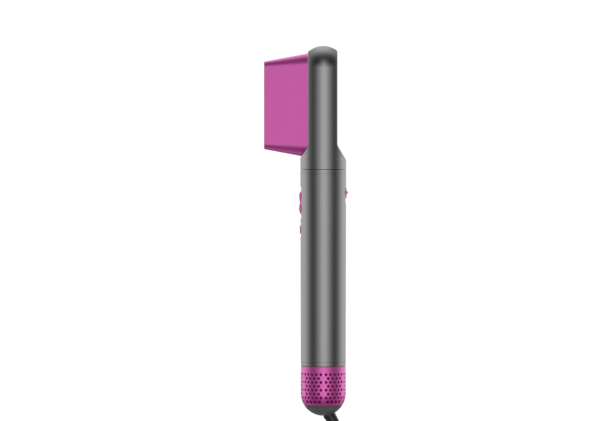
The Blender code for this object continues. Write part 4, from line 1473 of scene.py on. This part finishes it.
class STYLER_OT_cage(bpy.types.Operator):
    """Makes the perforated filter cage and the woven filter behind it"""

    bl_idname = "styler.cage"
    bl_label = "Filter cage"

    def execute(self, context):
        cage = context.scene.styler_cage
        inner = LOW_RADIUS - CAGE_WALL
        depth = CAGE_CENTRE - CAGE_LOW.z
        outer_end = fall(LOW_RADIUS, math.sqrt(LOW_RADIUS**2 - depth**2))
        inner_end = fall(inner, math.sqrt(inner**2 - depth**2))
        top = CAGE_HIGH.z
        chamfer = 0.35 * MM
        outline = [
            (LOW_RADIUS - chamfer, top),
            (LOW_RADIUS, top - chamfer),
            *arc((0, CAGE_CENTRE), LOW_RADIUS, 0, outer_end, 16),
            *arc((0, CAGE_CENTRE), inner, inner_end, 0, 16),
            (inner, top),
        ]
        obj = new_piece("perforated_cage", turned(outline, 144))
        grow(
            obj,
            perforation_tree(),
            panels=cage.panels,
            rows=cage.rows,
            hole_radius=cage.hole,
            row_pitch=cage.pitch,
            column_pitch=cage.step,
            shell_radius=LOW_RADIUS,
            wall=CAGE_WALL,
            centre_height=CAGE_CENTRE,
            first_row=FIRST_ROW,
            finish=slot_finish("magenta_shell"),
        )
        turned_normals(obj, cage_slope)
        finish_piece(obj, "magenta_shell", "filter_cage", "filter_cage")

        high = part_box("filter_mesh")[1]
        radius = inner - 0.75 * MM
        low_end = fall(radius, 16.3 * MM)
        points = [(radius, high.z - 0.2 * MM), *arc((0, CAGE_CENTRE), radius, 0, low_end, 12)]
        mesh = bpy.data.meshes.new("woven_filter")
        chain = [(i, i + 1) for i in range(len(points) - 1)]
        mesh.from_pydata([(r, 0, z) for r, z in points], chain, [])
        obj = bpy.data.objects.new("woven_filter", mesh)
        context.scene.collection.objects.link(obj)
        grow(
            obj,
            weave_tree(),
            uprights=150,
            spacing=0.75 * MM,
            wire_radius=cage.wire,
            finish=slot_finish("filter_wire"),
        )
        finish_piece(obj, "filter_wire", "filter_cage", "filter_mesh")
        return {"FINISHED"}


# ---------------------------------------------------------------- end cap and swivel


def along_lead():
    """Turns a shape made on +Z to the strain relief's direction."""
    return Matrix.Translation(LEAD_PIVOT) @ Matrix.Rotation(math.pi - LEAD_ANGLE, 4, "Y")


def ring_cut_tree():
    """Cuts evenly spaced grooves across the mesh that it is given, along Z."""
    inputs = {
        "Geometry": "Geometry",
        "Cutter": "Object",
        "Count": "Int",
        "Start": "Float",
        "Spacing": "Float",
        "Shrink": "Float",
        "Finish": "Material",
    }
    graph = new_tree("grooves", inputs)
    given = graph.node("NodeGroupInput", {}, {}, "Geometry")
    value = given.other
    index = graph.node("GeometryNodeInputIndex", {}, {})
    height = value("Start") + index * value("Spacing")
    spot = graph.node("ShaderNodeCombineXYZ", {}, {2: height})
    points = graph.node("GeometryNodePoints", {}, {"Count": value("Count"), "Position": spot})
    ring = graph.node("GeometryNodeObjectInfo", {}, {"Object": value("Cutter")}, "Geometry")
    size = 1 - index * value("Shrink")
    wide = graph.node("ShaderNodeCombineXYZ", {}, {0: size, 1: size, 2: 1.0})
    placed = {"Points": points, "Instance": ring, "Scale": wide}
    rings = graph.node("GeometryNodeInstanceOnPoints", {}, placed)
    return close_tree(graph, graph.node("GeometryNodeMeshBoolean", CUT, {"Mesh 1": given, "Mesh 2": rings}))


class STYLER_OT_end_cap(bpy.types.Operator):
    """Makes the end cap, the swivel dome in it and the lead's strain relief"""

    bl_idname = "styler.end_cap"
    bl_label = "End cap"

    def execute(self, context):
        lead = context.scene.styler_lead
        rim = CAGE_LOW.z - CAP_GAP
        start = fall(LOW_RADIUS, math.sqrt(LOW_RADIUS**2 - (CAGE_CENTRE - rim) ** 2))
        end = fall(LOW_RADIUS, SWIVEL_RADIUS)
        inside = in_metres((10.6, -134.9), (10.6, -133.6), (6.0, -133.6), (6.0, -132.3), (16.1, -132.3))
        outline = [*arc((0, CAGE_CENTRE), LOW_RADIUS, start, end, 12), *inside, (16.5 * MM, rim)]
        cap = new_piece("end_cap_shell", turned(outline))
        finish_piece(soften(cap, 0.25 * MM), "dark_plastic", "handle", "end_cap")

        start = fall(LOW_RADIUS, SWIVEL_RADIUS - CAP_GAP)
        outline = [
            (0, CAGE_CENTRE - LOW_RADIUS),
            *arc((0, CAGE_CENTRE), LOW_RADIUS, -90, start, 16)[1:],
            *in_metres((10.3, -135.15), (10.3, -133.9), (5.6, -133.9), (5.6, -132.0), (4.6, -132.0)),
            *in_metres((4.6, -129.8), (0, -129.8)),
        ]
        dome = new_piece("swivel_ball", turned(outline, 96))
        seat = new_piece("seat", rod(6.2 * MM, 9.6 * MM, 30 * MM))
        seat.data.transform(along_lead())
        carve(dome, seat)
        finish_piece(soften(dome, 0.25 * MM), "dark_plastic", "lead_swivel", "swivel_dome")

        outside = in_metres((0, 9.9), (5.9, 9.9), (5.9, 12.2), (5.55, 13.6), (5.3, 20.0), (5.1, 26.0))
        mouth = in_metres((4.6, 51.2), (3.9, 52.0), (3.62, 51.6), (3.62, 47.0), (0, 47.0))
        relief = rounded(outside + mouth, 0.5 * MM, closed=False)
        boot = new_piece("strain_relief_boot", turned(relief, 96))
        groove = new_piece("groove", tube(4.15 * MM, 7 * MM, -0.75 * MM, 0.75 * MM, 48))
        grooved(boot, groove, lead.ribs, start=24.5 * MM, spacing=4.1 * MM, shrink=0.012)
        soften(boot, 0.22 * MM, 2)
        boot.data.transform(along_lead())
        finish_piece(boot, "soft_rubber", "lead_swivel", "strain_relief")
        return {"FINISHED"}


# ---------------------------------------------------------------- plug and tie


def squared_ring(x, half_width, half_height, power=0.6, count=64):
    """A ring square to X, between an ellipse and a rectangle."""
    points = []
    for i in range(count):
        angle = math.tau * (i + 0.5) / count
        across, up = math.cos(angle), math.sin(angle)
        wide = half_width * math.copysign(abs(across) ** power, across)
        tall = half_height * math.copysign(abs(up) ** power, up)
        points.append((x, wide, tall))
    return points


def grooved(obj, cutter, count, start, spacing, shrink):
    """Cuts grooves across a piece that stands along Z, each by one copy of the cutter."""
    grow(
        obj,
        ring_cut_tree(),
        cutter=cutter,
        count=count,
        start=start,
        spacing=spacing,
        shrink=shrink,
        finish=slot_finish("soft_rubber"),
    )
    bpy.data.objects.remove(cutter)


PLUG_SPAN = (18.3 * MM, 48.0 * MM)
# The plug's half width and half height, by how far along it they hold, in millimetres
PLUG_WIDTHS = ((18.3, 6.3), (23.3, 8.5), (31.3, 9.6), (40.0, 10.9), (48.0, 11.45))
PLUG_HEIGHTS = ((18.3, 5.9), (23.3, 7.1), (31.3, 7.4), (40.0, 7.75), (48.0, 7.75))
PIN_PITCH = 12.7 * MM
PIN_THICK = 1.5 * MM
PIN_SPAN = (48.3 * MM, 65.0 * MM)
PIN_HALF_WIDTH = 3.1 * MM
PIN_HOLE = 1.3 * MM
PIN_HOLE_AT = 61.5 * MM
TIE_THICK = 0.55 * MM


class STYLER_OT_plug(bpy.types.Operator):
    """Makes the plug with its grip, pins and boot, and the tie round the coil"""

    bl_idname = "styler.plug"
    bl_label = "Plug and tie"

    def execute(self, context):
        lead = context.scene.styler_lead
        where = Matrix.Translation(PLUG_START) @ Matrix.Rotation(PLUG_TURN, 4, "Z")
        start, end = PLUG_SPAN
        width = wavy(in_metres(*PLUG_WIDTHS))
        height = wavy(in_metres(*PLUG_HEIGHTS))

        def section(x, inset=0.0):
            return squared_ring(x, width(x) - inset, height(x) - inset)

        soft = 0.9 * MM
        rings = [section(start + soft * along, soft * across) for along, across in quarter()][::-1]
        rings += [section(x) for x in np.linspace(start + 2 * MM, end - 2 * MM, 18)]
        rings += [section(end - soft * along, soft * across) for along, across in quarter()]
        body = new_piece("plug_grip", loft(rings))
        body.data.transform(Matrix.Rotation(-math.pi / 2, 4, "Y"))
        outer = loft([squared_ring(x, 14 * MM, 12 * MM) for x in (-0.7 * MM, 0.7 * MM)])
        core = loft([squared_ring(x, 8.9 * MM, 6.85 * MM) for x in (-2 * MM, 2 * MM)])
        groove = carve(new_piece("groove", outer), new_piece("core", core))
        groove.data.transform(Matrix.Rotation(-math.pi / 2, 4, "Y"))
        grooved(body, groove, lead.grip, start=27 * MM, spacing=3.2 * MM, shrink=-0.035)
        body.data.transform(where @ Matrix.Rotation(math.pi / 2, 4, "Y"))
        finish_piece(even_out(body), "soft_rubber", "lead_swivel", "plug_body")

        boot = in_metres((0, 0.3), (3.62, 0.3), (4.3, 0.8), (4.6, 5.0), (5.2, 17.4), (4.9, 18.0), (0, 18.0))
        boot = rounded(boot, 0.4 * MM, closed=False)
        obj = new_piece("plug_boot", turned(boot, SMALL_SIDES))
        groove = new_piece("groove", tube(3.95 * MM, 7 * MM, -0.6 * MM, 0.6 * MM, 48))
        grooved(obj, groove, 4, start=4.2 * MM, spacing=3.3 * MM, shrink=-0.04)
        obj.data.transform(where @ Matrix.Rotation(math.pi / 2, 4, "Y"))
        finish_piece(even_out(obj), "soft_rubber", "lead_swivel", "plug_relief")

        for name, side in (("left", 1), ("right", -1)):
            middle = side * PIN_PITCH / 2
            low = (PIN_SPAN[0], middle - PIN_THICK / 2, -PIN_HALF_WIDTH)
            high = (PIN_SPAN[1], middle + PIN_THICK / 2, PIN_HALF_WIDTH)
            pin = new_piece(f"plug_blade_{name}", block(low, high))
            soften(pin, 0.35 * MM)
            hole = new_piece("hole", rod(PIN_HOLE, -2 * PIN_THICK, 2 * PIN_THICK, 32))
            turn = Matrix.Rotation(math.pi / 2, 4, "X")
            hole.data.transform(Matrix.Translation((PIN_HOLE_AT, middle, 0)) @ turn)
            carve(pin, hole)
            pin.data.transform(where)
            finish_piece(even_out(pin), "steel", "lead_swivel", f"plug_pin_{name}")

        low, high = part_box("cord_tie")

        def loop(inset, corner):
            left, right, foot, top = low.x + inset, high.x - inset, low.z + inset, high.z - inset
            return rounded([(left, foot), (right, foot), (right, top), (left, top)], corner, 6)

        tie = new_piece("coil_tie", prism(loop(0.0, 2.4 * MM), low.y, high.y))
        opening = prism(loop(TIE_THICK, 2.0 * MM), low.y - MM, high.y + MM)
        carve(tie, new_piece("opening", opening))
        soften(tie, 0.15 * MM, 2)
        finish_piece(tie, "soft_rubber", "lead_swivel", "cord_tie")
        return {"FINISHED"}


# ---------------------------------------------------------------- stage


CAMERA_AT = (-0.0221, -3.167, 0.0546)
SENSOR_WIDTH = 36.0


class STYLER_OT_stage(bpy.types.Operator):
    """Sets the camera, the soft studio light and the pale floor"""

    bl_idname = "styler.stage"
    bl_label = "Stage"

    def execute(self, context):
        stage = context.scene.styler_stage
        lens = bpy.data.cameras.new("camera")
        lens.lens = stage.lens
        lens.sensor_width = SENSOR_WIDTH
        camera = bpy.data.objects.new("camera", lens)
        camera.location = CAMERA_AT
        camera.rotation_euler = (math.pi / 2, 0, 0)
        context.scene.collection.objects.link(camera)
        context.scene.camera = camera
        context.scene.view_settings.view_transform = "Standard"
        light_the_room(context.scene, stage.light)
        bm = bmesh.new()
        bmesh.ops.create_circle(bm, cap_ends=True, radius=stage.floor, segments=96)
        bmesh.ops.translate(bm, vec=(0, 0, CAD_BOX[0][2]), verts=bm.verts)
        floor = new_piece("floor", bm)
        floor.data.materials.append(pale_floor("pale_floor", stage.floor))
        floor.visible_glossy = False
        if floor.data.polygons[0].normal.z < 0:
            floor.data.flip_normals()
        return {"FINISHED"}


# The light's level by the angle from the viewer, in degrees: bright ahead, dim at the side, bright behind
LIGHT_BELT = (
    (0, 1.06), (9, 0.98), (14, 0.88), (19, 0.75), (24, 0.62), (30, 0.48), (35, 0.36), (40, 0.27),
    (45, 0.2), (50, 0.155), (56, 0.12), (62, 0.145), (68, 0.185), (74, 0.25), (80, 0.36), (87, 0.5),
    (94, 0.65), (102, 0.8), (110, 0.92), (120, 0.98), (135, 0.9), (150, 0.8), (180, 0.75),
)
LIGHT_ASIDE = math.radians(3)
CORNER_SHADE = 0.58
LOW_SHADE = 0.38
FAR_LOW_SHADE = 0.7
BACKDROP_LEVEL = 0.525


def light_the_room(scene, strength):
    """Soft light from all round: brightest behind the viewer and the object, with a dim belt between."""
    world = bpy.data.worlds.new("studio")
    scene.world = world
    world.use_nodes = True
    graph = Graph(world.node_tree)
    toward = graph.node("ShaderNodeTexCoord", {}, {}, "Generated")
    x = graph.node("ShaderNodeSeparateXYZ", {}, {0: toward}, "X")
    y, z = x.other("Y"), x.other("Z")
    cos, sin = math.cos(LIGHT_ASIDE), math.sin(LIGHT_ASIDE)
    x, y = x * cos + y * sin, y * cos - x * sin
    turn = graph.maths("ARCCOSINE", graph.limit(0 - y, -1.0, 1.0)) / math.pi
    # A ramp's colours stop at 1, so they are held at half and doubled in the strength.
    stops = [(degrees / 180, level / 2) for degrees, level in LIGHT_BELT]
    level = graph.node("ShaderNodeValToRGB", {}, {0: turn}, stops=stops)
    spread = x * x + z * z
    corner = 4 * x * x * z * z / (spread * spread + 0.02)
    low = graph.limit((0 - z) / 0.7, 0.0, 1.0)
    under = low * graph.limit(y / 0.5, 0.0, 1.0)
    level = level * (1 - corner * CORNER_SHADE) * (1 - low * LOW_SHADE) * (1 - under * FAR_LOW_SHADE)
    seen = graph.node("ShaderNodeLightPath", {}, {}, "Is Camera Ray")
    level = level + seen * (BACKDROP_LEVEL - level)
    colour = graph.node("ShaderNodeCombineColor", {}, {0: level, 1: level, 2: level})
    sky = world.node_tree.nodes["Background"]
    world.node_tree.links.new(colour.socket, sky.inputs["Color"])
    sky.inputs["Strength"].default_value = 2 * strength


# ---------------------------------------------------------------- lead


def smooth_route(points, steps):
    """Catmull-Rom curve through the points, with this many steps a stretch."""
    held = [Vector(p) for p in points]
    held = [2 * held[0] - held[1], *held, 2 * held[-1] - held[-2]]
    route = []
    for a, b, c, d in zip(held, held[1:], held[2:], held[3:]):
        for i in range(steps):
            t = i / steps
            bend = (2 * a - 5 * b + 4 * c - d) * t**2 + (3 * b - a - 3 * c + d) * t**3
            route.append(0.5 * (2 * b + (c - a) * t + bend))
    route.append(held[-2])
    return route


def winding(start, sweep, radii, heights, step=10):
    """Points of a turn about the coil's centre: angles in degrees, with eased heights."""
    points = []
    count = round(sweep / step)
    for i in range(count):
        share = i / count
        eased = share * share * (3 - 2 * share)
        angle = math.radians(start + sweep * share)
        radius = radii[0] + (radii[1] - radii[0]) * share
        height = heights[0] + (heights[1] - heights[0]) * eased
        points.append(COIL_CENTRE + Vector((radius * math.cos(angle), radius * math.sin(angle), height)))
    return points


def cord_route():
    """The whole lead: down from the handle, two layers of coil, then over them to the plug."""
    route = [Vector(p) * MM for p in LEAD_ROUTE]
    inward = INNER_TURN - OUTER_TURN
    outward = TURN_PITCH / 360
    route += winding(90, 90, (OUTER_TURN, OUTER_TURN), (CORD_TOP, LOWER_TURN))
    route += winding(180, 1260, (OUTER_TURN, OUTER_TURN + inward), (LOWER_TURN, LOWER_TURN))
    route += winding(0, 90, (INNER_TURN, INNER_TURN), (LOWER_TURN, UPPER_TURN))
    flat, rise = 690, 50
    middle, end = INNER_TURN + outward * flat, INNER_TURN + outward * (flat + rise)
    route += winding(90, flat, (INNER_TURN, middle), (UPPER_TURN, UPPER_TURN))
    route += winding(90 + flat, rise, (middle, end), (UPPER_TURN, CORD_TOP))
    tail = [Vector(p) * MM for p in TAIL_ROUTE]
    return smooth_route(route + tail, 3)


class STYLER_OT_lead(bpy.types.Operator):
    """Makes the mains lead from the strain relief through its coil to the plug"""

    bl_idname = "styler.lead"
    bl_label = "Lead"

    def execute(self, context):
        lead = context.scene.styler_lead
        route = cord_route()
        length = sum((b - a).length for a, b in zip(route, route[1:]))
        curve = bpy.data.curves.new("mains_lead", "CURVE")
        curve.dimensions = "3D"
        curve.bevel_depth = lead.diameter / 2
        curve.bevel_resolution = 6
        curve.use_fill_caps = True
        spline = curve.splines.new("POLY")
        spline.points.add(len(route) - 1)
        for held, point in zip(spline.points, route):
            held.co = (*point, 1.0)
        spline.use_smooth = True
        cord = bpy.data.objects.new("mains_lead", curve)
        context.scene.collection.objects.link(cord)
        finish_piece(cord, "soft_rubber", "lead_swivel", "cord_lead", "cord_tail", "cord_coil")
        return {"FINISHED"}


# ---------------------------------------------------------------- panel and start


OPERATORS = (
    STYLER_OT_stage,
    STYLER_OT_end_cap,
    STYLER_OT_plug,
    STYLER_OT_lead,
    STYLER_OT_head,
    STYLER_OT_nozzle,
    STYLER_OT_handle,
    STYLER_OT_coupling,
    STYLER_OT_lower_ring,
    STYLER_OT_controls,
    STYLER_OT_cage,
)


class STYLER_PT_panel(bpy.types.Panel):
    """Lists the styler's settings and the operators that make its pieces"""

    bl_idname = "STYLER_PT_panel"
    bl_label = "Hot air styler"
    bl_space_type = "VIEW_3D"
    bl_region_type = "UI"
    bl_category = "Styler"

    def draw(self, context):
        layout = self.layout
        for group, _ in GROUPS:
            box = layout.box()
            settings = getattr(context.scene, group)
            for name in settings.__annotations__:
                box.prop(settings, name)
        for operator in OPERATORS:
            layout.operator(operator.bl_idname)


GROUPS = (
    ("styler_body", StylerBody),
    ("styler_cage", StylerCage),
    ("styler_lead", StylerLead),
    ("styler_colours", StylerColours),
    ("styler_stage", StylerStage),
)


def register():
    for name, kind in GROUPS:
        bpy.utils.register_class(kind)
        setattr(bpy.types.Scene, name, PointerProperty(type=kind))
    for kind in (*OPERATORS, STYLER_PT_panel):
        bpy.utils.register_class(kind)


def unregister():
    for kind in reversed((*OPERATORS, STYLER_PT_panel)):
        bpy.utils.unregister_class(kind)
    for name, kind in reversed(GROUPS):
        delattr(bpy.types.Scene, name)
        bpy.utils.unregister_class(kind)


def finish_inner_parts():
    """Gives each CAD node that still shows its slot's material."""
    for row in frame["record"]["subparts"]:
        obj = frame["nodes"][row["node"]]
        if obj.hide_render:
            continue
        obj.data.materials.clear()
        obj.data.materials.append(slot_finish(row["material_slot"]))


def main():
    register()
    for operator in OPERATORS:
        family, name = operator.bl_idname.split(".")
        getattr(getattr(bpy.ops, family), name)()
    finish_inner_parts()


if __name__ == "__main__":
    main()
